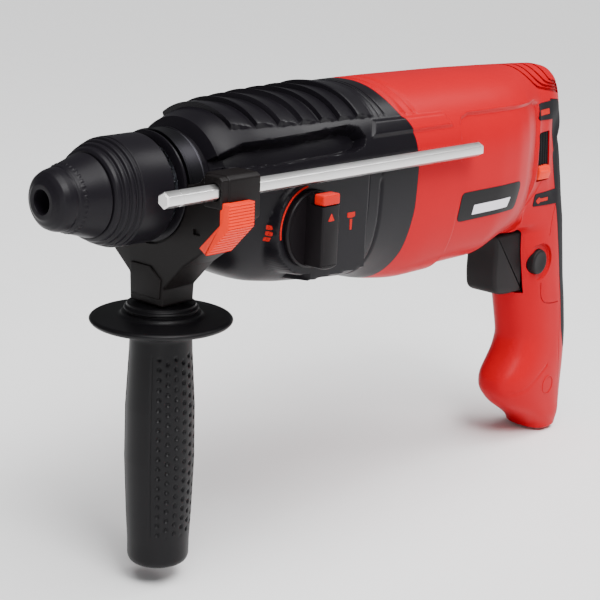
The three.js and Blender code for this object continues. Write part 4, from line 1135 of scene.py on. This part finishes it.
@dataclass
class MotorCase:
    """The red motor case, its handle, the rear shell and the soft back strip, parted from one skin."""

    body: Body
    handle: tuple = ((-56, -262.4, -307.7, 17.2), (-66, -263, -310, 17), (-85, -267, -314, 16.4),
                     (-100, -271, -318, 16), (-118, -275.5, -321.5, 15.6), (-127, -272, -322.5, 15.8),
                     (-140, -261, -323, 16.4), (-148, -261.5, -322.5, 16.4), (-158, -272, -321.5, 16),
                     (-168, -289, -320, 15.4), (-174, -296, -317.6, 13.4),)
    back: tuple = ((-241, 36.15), (-250, 36), (-262, 35.8), (-277, 35.3), (-288, 33.2), (-297, 28.4),
                   (-303.4, 22), (-305.4, 18), (-304.6, 14.8), (-298.2, 7.4), (-297.8, 3), (-298.4, 0),
                   (-300.4, -10), (-303.2, -28), (-306, -46), (-307.7, -56),)
    front: tuple = ((-241, -52.8), (-258, -52.8), (-262.4, -54.6), (-262.4, -56))
    pivot: tuple = (-241.0, -56.0)
    seam: tuple = ((-291, 60), (-292.2, 1), (-294, -60), (-303, -100), (-308, -140), (-313, -190))
    strip: tuple = ((-275, 17.8), (-276.4, 12), (-279.4, 0), (-284.2, -25), (-290.0, -50), (-295.5, -69),
                    (-302.5, -94), (-307.5, -116), (-312.5, -128), (-345, -134), (-345, 10.5),
                    (-298, 10.5), (-290, 16),)
    recess: tuple = ((-165.5, -80), (-167, 0), (-168.5, 15.5), (-171, 18.8), (-177, 20.4), (-248, 20.2),
                     (-256, 17.5), (-259, 10), (-257.5, -28), (-250, -48), (-236, -58), (-222, -80),)
    wall: float = 2.6
    groove_depth: float = 1.1

    def width(self, x: Array, z: Array) -> Array:
        """Half width at a point of the side view: the body's, easing into the handle's below the tail.

        Args:
            x, z: the points.
        Returns:
            The half widths.
        """
        grip = drawn(
            [(r[0], r[3]) for r in self.handle] + [
                (16, 9.5), (8, 12.8), (0, 14.2), (-10, 16.2), (-30, 17.3), (-50, 17.4)
            ],
            z, 2.0
        )[0]
        lower = ease((-20 - z) / 25) * ease((-248 - x) / 10)
        rear = ease((12 - z) / 15) * ease((-270 - x) / 20)
        share = np.maximum(lower, rear)
        return self.body.half(x) * (1 - share) + grip * share

    def spokes(self, outline: Sequence[Sequence[float]], angle: Array) -> Array:
        """Distance from the pivot to an outline along each spoke.

        Args:
            outline: an open outline that each spoke crosses once.
            angle: the spokes, from straight up towards the rear.
        Returns:
            One distance for each spoke.
        """
        dense = fine(soften(outline, 3.2, 8), 0.3)
        away, up = self.pivot[0] - dense[:, 0], dense[:, 1] - self.pivot[1]
        turn = np.arctan2(away, up)
        order = np.argsort(turn)
        return np.interp(angle, turn[order], np.hypot(away, up)[order])

    def fan(self, phi: Array) -> Array:
        """The bend from body to handle: sections on spokes that turn a quarter about the pivot.

        A section lies between the inner and the outer outline. Its power goes from the body's to the
        handle's.

        Args:
            phi: polar angles round a section.
        Returns:
            Spokes x angles x 3.
        """
        turn = np.radians(
            np.concatenate([np.linspace(0.8, 36, 44), np.linspace(36.6, 50, 30), np.linspace(50.8, 89.4, 46)])
        )
        near_r, far_r = self.spokes(self.front, turn)[:, None], self.spokes(self.back, turn)[:, None]
        share = ease(turn / (math.pi / 2))[:, None]
        middle = near_r + (0.557 + (0.5 - 0.557) * share) * (far_r - near_r)
        outer = np.sin(phi)[None, :] >= 0
        power = np.where(outer, 2.25 + 0.35 * share, 3.1 - 0.5 * share)
        c, s = oval(phi[None, :], power)
        r = middle + np.where(outer, far_r - middle, middle - near_r) * s
        x = self.pivot[0] - r * np.sin(turn)[:, None]
        z = self.pivot[1] + r * np.cos(turn)[:, None]
        return np.stack([x, self.width(x, z) * c, z], axis=-1)

    def grip(self, phi: Array) -> Array:
        """The handle's level sections, superellipses of power 2.6, closed by a rounded heel.

        Args:
            phi: polar angles round a section.
        Returns:
            Levels x angles x 3.
        """
        z = np.concatenate([np.linspace(-56.8, -174, 118), -174 - 2.0 * np.sin(np.radians([20, 45, 70, 90]))])
        inset = np.concatenate([np.zeros(118), 2.0 * (1 - np.cos(np.radians([20, 45, 70, 90])))])
        near_x, far_x, half = (v[:, None] for v in drawn(self.handle, np.maximum(z, -174), 2.4))
        inset = inset[:, None]
        near_x, far_x, half = near_x - inset, far_x + inset, half - inset
        c, s = oval(phi[None, :], 2.6)
        x = (near_x + far_x) / 2 - (near_x - far_x) / 2 * s
        return np.stack([x, half * c, z[:, None] + 0 * c], axis=-1)

    def relief(self, points: Array) -> Array:
        """How far each point moves along its normal: lug, recessed flank, roof bands and handle crease.

        Args:
            points: the grid before it is moved.
        Returns:
            The distances.
        """
        x, y, z = points[..., 0], points[..., 1], points[..., 2]
        flank = ease((np.abs(y) - 9) / 4)
        rise = self.body.lug(x, z) * flank
        rise = rise - 1.8 * flank * ease((inside(x, z, self.recess) + 0.2) / 1.6)
        for line in (-126.5, -133.0, -139.5):
            rise = rise - 1.3 * ease(1.5 - np.abs(x - line) / 0.9) * ease((z - 22.4) / 1.2)
        crease = near(x, z, ((-262, -149.5), (-276, -146), (-294, -135)))
        return rise - 0.5 * ease((0.8 - crease) / 0.8) * ease((np.abs(y) - 9) / 3)

    def shell(self) -> Piece:
        """The whole red skin with its inner wall, as one grid.

        Returns:
            The closed piece, whose rows run inner heel, inner front, outer front, outer heel.
        """
        phi = columns(264)
        x = np.concatenate([np.linspace(-130.3, -133, 5), np.linspace(-133.8, -240.4, 128)])
        base = np.concatenate([self.body.ring(x, phi), self.fan(phi), self.grip(phi)])
        out = normals(base)
        outer = base + out * self.relief(base)[..., None]
        lip = outer[:1] * (1, 0.992, 0.992) + (0.35, 0, 0)
        self.base, self.out = base, out
        self.skin = Skin(self.body.bend_edge(outer, EDGE_REACH), out)
        inner = (base - out * self.wall)[4:-6:6]
        low = inner[-1:] * 1.0
        grid = np.concatenate([low, inner[::-1], (base[:1] - out[:1] * self.wall), lip, outer])
        return Piece("motor_case", self.body.bend_edge(grid, EDGE_REACH))

    def tail_grooves(self, shell: Piece) -> None:
        """Cuts the four parallel grooves across the tail to an even depth below the skin.

        Args:
            shell: the rear shell.
        """
        core = Piece("groove_core", self.body.bend_edge(self.base - self.out * self.groove_depth, EDGE_REACH))
        for k in range(4):
            top = -249.0 - 8.0 * k
            path = ((top + 2, 42), (top, 36.5), (top - 4, 30.5), (top - 13 + 2 * k, 24.6 + 0.7 * k),
                    (-294.5, 19.6 + 1.7 * k), (-300.5, 17.9 + 1.6 * k))
            line = fine(soften(path, 5, 8), 1.0)
            groove = ribbon("tail_groove", line, Side.Y, 1.5, -50.0, 50.0)
            shell.carve(groove.carve(core.copy("groove_core_cut")))
        core.discard()

    def prism(
        self, name: str, outline: Sequence[Sequence[float]], low: float = -60.0, high: float = 60.0
    ) -> Piece:
        """An outline of the side view made into a cutter."""
        return slab(name, np.asarray(outline, float), Side.Y, low, high, 0.0)

    def build(self) -> None:
        """Parts the skin along the rear seam and opens the windows of the switch gear."""
        shell = self.shell()
        self.tail_grooves(shell)
        behind = [(x - 0.15, z) for x, z in self.seam] + [(-360, -190), (-360, 60)]
        ahead = [(x + 0.15, z) for x, z in self.seam] + [(-360, -190), (-360, 60)]
        cover = shell.copy("rear_shell")
        strip = shell.copy("soft_back")
        shell.carve(self.prism("rear_room", ahead))
        trigger_room = slab(
            "trigger_room", rounded([(-279, -90), (-279, -51), (-240, -51), (-240, -90)], 2), Side.Y, -10.6,
            10.6, 0.0
        )
        shell.carve(trigger_room)
        window = rounded([(-277.2, -25.4), (-273.8, 1.4), (-258.4, 1.4), (-261.4, -25.4)], 1.2)
        for low, high in ((11.5, 60), (-60, -11.5)):
            shell.carve(self.prism("lever_window", window, low, high))
        shell.carve(
            lathe("lock_dish", ((14.9, 10.2), (15.2, 10.6), (40, 12.4)), (-277.4, 0, -72.2), Side.Y, 72)
        )
        shell.carve(lathe("lock_hole", ((8, 7.2), (40, 7.2)), (-276.6, 0, -71.9), Side.Y, 64))
        inlet = lathe("inlet_room", ((-180, 7.3), (-168.6, 7.3)), (-307, 0, 0), Side.Z, 48)
        for piece in (shell, cover):
            piece.carve(inlet.copy("inlet_cut"))
        inlet.discard()
        for mark, path in (
            ("seam_above", ((-294, -35), (-288, -40), (-284.4, -47), (-283.6, -58))),
            ("seam_below", ((-281, -84.6), (-281.8, -92), (-286, -97.5), (-300, -98.6))),
        ):
            line = fine(soften(path, 8, 8), 1.0)
            y = self.skin.at(line[:, 0], line[:, 1])
            shell.carve(ribbon(mark, line, Side.Y, 0.55, y - 0.55, y + 4))
        wide = [(x + 0.15, z) for x, z in self.strip[:-4]] + [
            (-345, -134.2), (-345, 10.7), (-298, 10.7), (-290, 16.2)
        ]
        wide[0] = (wide[0][0], 18.0)
        strip_room = self.prism("strip_room", wide)
        shell.carve(strip_room.copy("strip_room_front"))
        shell.finish("case_red", "housing", "red_plastic", ["motor_housing", "handle_heel"])
        cover.carve(self.prism("front_room", behind), operation="INTERSECT")
        cover.carve(strip_room)
        cover.finish("case_red", "housing", "red_plastic", ["handle_cover"])
        strip.carve(self.prism("strip_keep", self.strip), operation="INTERSECT")
        strip.finish("soft_black", "housing", "soft_plastic", ["soft_grip"])
        self.trim()

    def trim(self) -> None:
        """Lays the rating plate, soft patches, arrows and the embossed roundel on the skin."""
        plate = rounded([(-171.5, -17.8), (-169.5, -32.2), (-221.5, -32.2), (-225.5, -17.8)], 3.2)
        self.skin.sticker("rating_plate_face", plate, 0.8, 0.25).finish(
            "plate_black", "housing", "plate", ["rating_plate"]
        )
        field = rounded([(-182.5, -24.9), (-181.4, -29.7), (-212.4, -29.7), (-214.6, -24.9)], 0.3)
        self.skin.sticker("rating_field", field, 0.2, 0.4, 1, 0.05).finish("print_white", "housing", "plate")
        for name, low, high in (("soft_patch_upper", 7.0, 16.6), ("soft_patch_lower", -40.2, -32.2)):
            front, rear = (-258.2, -277.5) if low > 0 else (-263.4, -289.0)
            patch = rounded([(front, low + 1), (front, high), (rear, high + 0.4), (rear, low)], 1.4)
            middle = (low + high) / 2
            tip = front - 1.8
            arrow = [(tip, middle), (tip - 2.8, middle + 2), (tip - 2.8, middle + 0.9),
                     (tip - 12, middle + 0.9), (tip - 12, middle - 0.9), (tip - 2.8, middle - 0.9),
                     (tip - 2.8, middle - 2)]
            if low > 0:
                arrow = [(tip, middle - 1.4), (tip, middle + 1.4), (tip - 12, middle + 1.4),
                         (tip - 12, middle - 1.4)]
            for hand, side in ((1, "left"), (-1, "right")):
                self.skin.sticker(
                    f"{name}_{side}", patch, 0.6, 0.35, hand, 0.25
                ).finish("soft_black", "housing", "soft_plastic")
                self.skin.sticker(
                    f"{name}_{side}_arrow", rounded(arrow, 0.2, 3), 0.2, 0.55, hand, 0.05
                ).finish("print_red", "housing", "red_plastic")
        angle = np.linspace(0, 2 * math.pi, 48, endpoint=False)
        x, z = -296 + 5.2 * np.cos(angle), -147 + 5.2 * np.sin(angle)
        ring_path = np.stack([x, self.skin.at(x, z), z], axis=1)
        ring_path = np.vstack([ring_path, ring_path[:1]])
        tube("heel_roundel", ring_path, 0.35).finish("case_red", "housing", "red_plastic")


# ---- controls ----------------------------------------------------------------------


@dataclass
class Controls:
    """Mode knob with its lock, trigger, lock-on button and reversing lever."""

    knob: tuple = (-59.0, -19.0)
    knob_r: float = 16.8
    bar_half: float = 5.3
    trigger_half: float = 9.9

    def mode_knob(self) -> None:
        """The knob: a skirt with a rolled rim, a straight grip bar and a pointer."""
        kx, kz = self.knob
        skirt = soften(((30, 7.6), (38.5, 7.6), (38.6, self.knob_r), (40.2, self.knob_r),
                        (40.9, self.knob_r - 0.8), (40.4, self.knob_r - 1.7), (40.3, 3.0)), 0.3)
        knob = lathe("mode_knob", skirt, (kx, 0, kz), Side.Y, 128)
        angle = np.radians(np.linspace(-68, 68, 25))
        reach = self.knob_r - 1.0
        tips = np.stack(
            [self.bar_half * np.sin(angle) / math.sin(angle[-1]), reach * np.cos(angle * 0.33)], axis=1
        )
        line = np.vstack([tips, -tips]) * (-1, 1) + (kx, kz)
        bar = slab("mode_bar", line, Side.Y, 39.0, 49.9, 0.9, both=False)
        pocket = slab(
            "lock_room",
            rounded([(kx - 6.6, -7.6), (kx - 6.6, -1.0), (kx + 6.6, -1.0), (kx + 6.6, -7.6)], 0.6), Side.Y,
            42.2, 60, 0.0
        )
        knob.carve(bar, operation="UNION").carve(pocket)
        knob.finish("knob_black", "selector", "black_plastic", ["selector_knob"])
        button = slab(
            "mode_lock",
            rounded([(kx - 5.2, -7.2), (kx - 5.2, -2.6), (kx + 5.2, -2.6), (kx + 5.2, -7.2)], 1.0), Side.Y,
            44.4, 50.0, 0.7
        )
        button.finish("button_red", "knob_lock", "red_plastic", ["knob_lock_button"])
        mark = rounded([(kx, -10.6), (kx - 2.0, -14.0), (kx + 2.0, -14.0)], 0.25, 3)
        slab("mode_pointer", mark, Side.Y, 49.6, 50.0, 0.05).finish("print_red", "selector", "red_plastic")

    def trigger(self) -> None:
        """The trigger: a finger-shaped outline with a broad round along both edges."""
        outline = soften(((-271.2, -53.4), (-242.0, -53.4), (-243.8, -61), (-243.4, -76), (-244.8, -84.5),
                          (-249, -87.4), (-257, -88.6), (-271.2, -88.8)), 3.5, 8)
        slab(
            "trigger_lever", fine(np.vstack([outline, outline[:1]]), 1.2)[:-1], Side.Y,
            -self.trigger_half, self.trigger_half, 2.4
        ).finish("switch_grey", "trigger", "soft_plastic", ["trigger"])

    def lock_on(self) -> None:
        """The lock-on button: a turned cap with a dished face."""
        profile = soften(((12.7, 6.8), (16.4, 6.9), (17.1, 6.3), (17.15, 5.1), (16.8, 2.0)), 0.5)
        lathe("lock_on_cap", profile, (-276.6, 0, -71.9), Side.Y, 72).finish(
            "switch_grey", "lock_on", "black_plastic", ["lock_on_button"]
        )

    def reversing(self, skin: Skin) -> None:
        """The reversing lever's tab at the left window, and the ribbed vent that fills each window.

        Args:
            skin: the outer surface of the motor case.
        """
        for hand, side in ((1, "left"), (-1, "right")):
            z = np.linspace(-25.0, 1.0, 27)
            across = np.linspace(0, 1, 141)
            ribs = 1.1 * (0.5 + 0.5 * np.cos(2 * math.pi * 5 * across)) ** 0.5
            rows = []
            for h in z:
                lean = 3.2 * (h + 25.0) / 26.0
                x = -276.9 + lean + 14.9 * across
                y = skin.at(x, 0 * x + h) - 1.9 + ribs
                loop = np.vstack([np.stack([x, y], 1), [[x[-1], 11.8], [x[0], 11.8]]])
                rows.append(np.column_stack([loop[:, 0], hand * loop[:, 1], np.full(len(loop), h)]))
            Piece(
                f"lever_louvre_{side}", np.stack(rows), flat_ends=True
            ).finish("louvre_black", "housing", "black_plastic")
        tab = rounded([(16.2, -25.0), (19.6, -24.4), (20.6, -20.8), (19.9, -17.2), (16.2, -16.8)], 0.9)
        slab(
            "lever_tab_left", tab, Side.X, -273.9, -263.4, 0.6
        ).finish("button_orange", "reversing", "orange_plastic")


# ---- chuck, side handle and depth rod ----------------------------------------------


@dataclass
class Chuck:
    """The rubber nose and the sliding sleeve."""

    axis: tuple = (0.0, 0.0, 0.0)

    def build(self) -> None:
        """Turns the cap and the sleeve, and rings the cap with small raised dashes."""
        cap = soften(((32.4, 10.6), (34.4, 10.6), (34.6, 5.6), (52.6, 5.1), (53.2, 4.8), (53.9, 4.9),
                      (53.95, 6.9), (53.2, 8.0), (52.6, 9.6), (51.2, 11.2), (49, 12.2), (46.6, 12.7),
                      (45.6, 12.5), (44.9, 13.1), (34.2, 16.4), (32.5, 17.0), (32.4, 10.6)), 0.35)

        def dashes(place: Array, radius: Array, angle: Array) -> Array:
            """The radius with forty short dashes on a band of the cone.

            Args:
                place, radius, angle: the points of the turned surface.
            Returns:
                The new radius.
            """
            part = (angle * 40 / (2 * math.pi)) % 1.0
            bump = ease(part / 0.12) * ease((0.62 - part) / 0.12)
            band = ease((place - 42.4) / 0.25) * ease((43.6 - place) / 0.25) * (radius > 11)
            return radius + 0.28 * bump * band

        lathe("nose_cap", fine(cap, 0.5), self.axis, Side.X, 320, dashes).finish(
            "chuck_rubber", "spindle", "rubber", ["dust_cap"]
        )
        steps = [(4.5, 19.2), (4.45, 22.0), (5.0, 22.5), (20.6, 22.3), (21.0, 21.7), (21.5, 21.7),
                 (21.9, 22.2), (23.0, 22.0), (23.4, 21.0), (24.0, 20.9), (24.4, 21.4), (25.6, 21.1),
                 (26.0, 20.1), (26.6, 20.0), (27.0, 20.4), (28.2, 20.0), (28.6, 18.9), (29.4, 18.8),
                 (29.9, 19.0), (31.2, 18.4), (31.9, 17.4), (31.9, 12.2), (30.9, 12.0), (22, 18.6),
                 (4.5, 19.2)]
        sleeve = lathe("lock_sleeve", soften(steps, 0.25), self.axis, Side.X, 160)
        sleeve.finish("chuck_rubber", "sleeve", "black_plastic", ["locking_sleeve"])


@dataclass
class SideHandle:
    """Strap, clamp, release button, depth rod and grip."""

    clamp: tuple = ((-10, -50), (10, -50), (10.5, -42), (22, -30), (34, -21.5), (44.8, -9), (47, -7),
                    (47, 9.5), (45, 11), (34, 11), (30, 6), (24, 4), (-24, 4), (-29, -4), (-28, -14),
                    (-20, -30), (-10.5, -38),)
    rod: tuple = (42.2, 4.4)
    rod_span: tuple = (-174.0, 30.0)
    grip_axis: tuple = (-9.6, 0.0, 0.0)

    def strap(self) -> None:
        """The steel band: a flat ring with a rolled edge at each side."""
        profile = soften(((-2.9, 22.15), (-2.8, 23.4), (-3.6, 23.45), (-4.0, 23.15), (-10.8, 23.15),
                          (-11.2, 23.45), (-12.0, 23.4), (-11.9, 22.15), (-2.9, 22.15)), 0.1)
        lathe("strap_band", profile, (0, 0, 0), Side.X, 160).finish(
            "strap_steel", "clamp", "dark_steel", ["clamp_strap"]
        )

    def clamp_piece(self) -> None:
        """The clamp: a V-shaped slab with the rod block, bored for the neck and the rod."""
        body = slab("clamp_v", rounded(self.clamp, 1.6), Side.X, -18.7, -0.5, 1.1)
        block = slab(
            "rod_block",
            rounded([(36.2, -2.2), (46.4, -2.2), (46.4, 9.4), (44.6, 10.6), (36.2, 10.6)], 1.2), Side.X,
            -18.4, 2.9, 0.8
        )
        body.carve(block, operation="UNION")
        plate = slab(
            "front_plate", rounded([(-8.6, -46.5), (8.6, -46.5), (9.4, -38), (3, -33), (-8.9, -33)], 0.8),
            Side.X, -2, 0.25, 0.4
        )
        body.carve(plate, operation="UNION")
        body.carve(
            lathe("neck_room", ((-20, 21.9), (4, 21.9)), (0, 0, 0), Side.X, 160),
            lathe("strap_room", ((-12.3, 23.95), (-2.5, 23.95)), (0, 0, 0), Side.X, 160),
            lathe("front_room", ((-2.0, 23.95), (3.5, 23.95)), (0, 0, 0), Side.X, 160),
            lathe("rod_room", ((-20, 3.75), (4, 3.75)), (0, *self.rod), Side.X, 48),
            slab(
                "notch", rounded([(27.5, -15.5), (31.5, -15.5), (31.5, -13.0), (27.5, -13.0)], 0.4), Side.X,
                -1.6, 2, 0.0
            ),
            slab(
                "bolt_room", rounded([(-7.6, -36), (7.6, -36), (7.6, -52), (-7.6, -52)], 1), Side.X, -15.8,
                -3.4, 0.0
            ),
        )
        body.finish("clamp_black", "clamp", "black_plastic", ["clamp_body"])

    def button(self) -> None:
        """The release button, with fine steps down its outer and lower faces."""
        def steps(a: tuple, b: tuple, count: int, depth: float) -> list:
            """A run of saw steps, cut into the right of the way from a to b.

            Args:
                a, b: its ends.
                count: how many steps.
                depth: how deep they are cut.
            Returns:
                The corners.
            """
            start, end = np.array(a, float), np.array(b, float)
            way = (end - start) / np.linalg.norm(end - start)
            cut = np.array([way[1], -way[0]]) * depth
            return [
                tuple(start + (end - start) * t + cut * d)
                for k in range(count)
                for t, d in (
                    (k / count, 0), ((k + 0.72) / count, 0), ((k + 0.8) / count, 1), ((k + 0.95) / count, 1)
                )
            ]

        outline = [(44.9, 0.6), *steps((50.1, 0.5), (50.1, -9.5), 8, 0.45),
                   *steps((50.1, -9.5), (38, -21.9), 9, 0.45),
                   (38, -21.9), (33.8, -19.5), (44.9, -8.3)]
        slab("rod_lock_button", np.array(outline), Side.X, -12.2, 2.3, 0.5).finish(
            "button_orange", "rod_release", "orange_plastic", ["release_button"]
        )

    def depth_rod(self) -> None:
        """The hexagonal depth rod: softened corners, chamfered ends and a ring cut near the front."""
        y, z = self.rod
        corners = [(3.42 * math.cos(a), 3.42 * math.sin(a)) for a in np.radians(np.arange(0, 360, 60) + 30)]
        ring = rounded(corners, 0.35, 4)
        back, front = self.rod_span
        places = [(back, 0.8), (back + 0.7, 1.0), (21.6, 1.0), (21.75, 0.93), (22.1, 0.93), (22.25, 1.0),
                  (front - 0.7, 1.0), (front, 0.8)]
        rows = [
            np.column_stack(
                [np.full(len(ring), x), ring[:, 0] * k + y, ring[:, 1] * k + z]
            ) for x, k in places
        ]
        Piece("depth_bar", np.stack(rows)).finish(
            "drawn_bar", "rod", "bright_steel", ["depth_rod"], crease=24
        )

    def grip(self) -> None:
        """The side grip: collar, thin guard disc and a dimpled barrel with a smooth spine to the front."""
        profile = soften(((-168, 0.5), (-168, 11.4), (-167.2, 12.8), (-165.4, 13.5), (-158, 13.6),
                          (-145, 14.3), (-120, 15.2), (-96, 15), (-72, 13.6), (-65, 13.3), (-62.2, 15.4),
                          (-60.6, 18.4), (-59.4, 29.4), (-58.2, 30.5), (-57.4, 30.5), (-56.6, 29.6),
                          (-56.0, 18.2), (-55.2, 17.2), (-54.5, 17.0), (-54.2, 15.2), (-53.6, 15.0),
                          (-53.3, 16.0), (-52.2, 15.8), (-51.8, 14.8), (-50.4, 14.6), (-50.4, 7.8),
                          (-51.5, 7.4), (-52, 7.2), (-60, 7.2), (-60.2, 0.5)), 0.8)

        def dimples(place: Array, radius: Array, angle: Array) -> Array:
            """The radius with staggered round dimples on both flanks and a fine line beside the spine.

            Args:
                place, radius, angle: the points of the turned surface.
            Returns:
                The new radius.
            """
            barrel = ease((-70 - place) / 3) * ease((place + 154) / 3) * (radius > 8)
            flank = np.abs(((angle + math.pi) % (2 * math.pi)) - math.pi)
            column = (flank - 0.78) / 0.27
            k = np.round(column)
            row = (place + 72) / 4.4 + 0.5 * (k % 2)
            across, down = (column - k) * 0.27 * 14.5, (row - np.round(row)) * 4.4
            dimple = ease((1.25 - np.hypot(across, down)) / 0.8) * (k >= 0) * (k <= 6)
            line = ease((0.5 - np.abs(flank - 0.55) * 14.5) / 0.5)
            return radius - barrel * (0.75 * dimple + 0.4 * line)

        rows = fine(profile, 0.55)
        lathe("side_barrel", rows, self.grip_axis, Side.Z, 224, dimples).finish(
            "grip_black", "grip", "black_plastic", ["side_grip"]
        )


# ---- inside ------------------------------------------------------------------------

INSIDE = {
    "ground_steel": ("locking_ring", "locking_ball_left", "locking_ball_right", "spindle", "tool_holder",
                     "spindle_bearing", "anvil", "striker",
                     "piston_pin", "wobble_plate", "clutch_washer", "shaft_front_bearing",
                     "shaft_rear_bearing", "shift_plate",
                     "motor_front_bearing", "motor_rear_bearing"),
    "oiled_steel": ("sleeve_spring", "wobble_hub", "intermediate_shaft", "spindle_gear", "clutch_spring",
                    "clutch_sleeve",
                    "driven_gear", "armature_shaft", "brush_spring_left", "brush_spring_right"),
    "screw_steel": ("clamp_bolt", "grip_nut"),
    "cast_alloy": ("piston", "bearing_flange"),
    "sheet_brass": ("selector_cam",),
    "seal_rubber": ("cord_inlet",),
    "magnet_wire": ("field_coil_upper", "field_coil_lower", "commutator"),
    "core_sheets": ("stator_core", "armature_core"),
    "brush_carbon": ("carbon_brush_left", "carbon_brush_right"),
    "fan_nylon": ("fan",),
    "case_black": ("rear_bearing_bridge", "switch_body"),
    "button_orange": ("brush_plate",),
}


def dress_inside() -> None:
    """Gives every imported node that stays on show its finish."""
    for finish, names in INSIDE.items():
        for name in names:
            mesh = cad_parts[name].data
            mesh.materials.clear()
            mesh.materials.append(Shelf.take(finish))
            LOG.info("%s: packed node in %s", name, finish)


# ---- studio ------------------------------------------------------------------------


@dataclass
class Studio:
    """A pale floor, four soft lights and the camera."""

    eye: tuple = (404.4, 442.7, 116.3)
    right: tuple = (-0.669, 0.743, 0.039)
    up: tuple = (-0.17, -0.203, 0.964)
    lens: float = 89.0

    def light(self, name: str, place: tuple, aim: tuple, size: float, power: float) -> None:
        """A square area light, turned to its aim.

        Args:
            name: its name.
            place, aim: where it stands and where it looks, in metres.
            size: its side in metres.
            power: watts.
        """
        lamp = bpy.data.lights.new(name, "AREA")
        lamp.size, lamp.energy = size, power
        holder = bpy.data.objects.new(name, lamp)
        holder.location = place
        holder.rotation_euler = (Vector(aim) - Vector(place)).to_track_quat("-Z", "Y").to_euler()
        bpy.context.scene.collection.objects.link(holder)

    def build(self) -> None:
        """Lays the floor, sets the lights and world, and places the camera."""
        floor_z = -0.1778
        mesh = bpy.data.meshes.new("floor")
        mesh.from_pydata(
            [(-9, -9, floor_z), (9, -9, floor_z), (9, 9, floor_z), (-9, 9, floor_z)], [], [(0, 1, 2, 3)]
        )
        floor = bpy.data.objects.new("floor", mesh)
        bpy.context.scene.collection.objects.link(floor)
        mesh.materials.append(
            Moulded("floor_paper", colour(246, 246, 246), 0.75, 0.05, 900.0, 0.0, 0.2, 0.01).make()
        )
        world = bpy.data.worlds.new("studio")
        world.use_nodes = True
        world.node_tree.nodes["Background"].inputs["Color"].default_value = (0.95, 0.97, 1.0, 1.0)
        world.node_tree.nodes["Background"].inputs["Strength"].default_value = 0.16
        bpy.context.scene.world = world
        centre = (-0.13, 0.0, -0.03)
        self.light("key", (0.25, 0.8, 0.95), centre, 0.5, 14)
        self.light("front_fill", (0.9, 0.9, 0.25), centre, 0.5, 4)
        self.light("rear_rim", (-0.9, 0.35, 0.9), centre, 0.5, 7)
        sun = bpy.data.lights.new("sky", "SUN")
        sun.energy, sun.angle = 4.2, 0.9
        holder = bpy.data.objects.new("sky", sun)
        holder.rotation_euler = (-0.30, 0.12, 0.0)
        bpy.context.scene.collection.objects.link(holder)
        data = bpy.data.cameras.new("camera")
        data.lens, data.sensor_width = self.lens, 36.0
        data.clip_start = 0.01
        camera = bpy.data.objects.new("camera", data)
        right = Vector(self.right).normalized()
        up = (Vector(self.up) - right * Vector(self.up).dot(right)).normalized()
        turn = Matrix((right, up, right.cross(up))).transposed().to_4x4()
        camera.matrix_world = Matrix.Translation(Vector(self.eye) * MM) @ turn
        bpy.context.scene.collection.objects.link(camera)
        bpy.context.scene.camera = camera


def main() -> None:
    """Builds the stage, then each sub-assembly from the nose to the heel."""
    logging.basicConfig(level=logging.INFO, format="%(message)s")
    Studio().build()
    Chuck().build()
    gear_case = GearCase(BODY)
    gear_case.build()
    gear_case.marks()
    motor_case = MotorCase(BODY)
    motor_case.build()
    Controls().mode_knob()
    Controls().trigger()
    Controls().lock_on()
    Controls().reversing(motor_case.skin)
    side = SideHandle()
    side.strap()
    side.clamp_piece()
    side.button()
    side.depth_rod()
    side.grip()
    dress_inside()


if __name__ == "__main__":
    main()
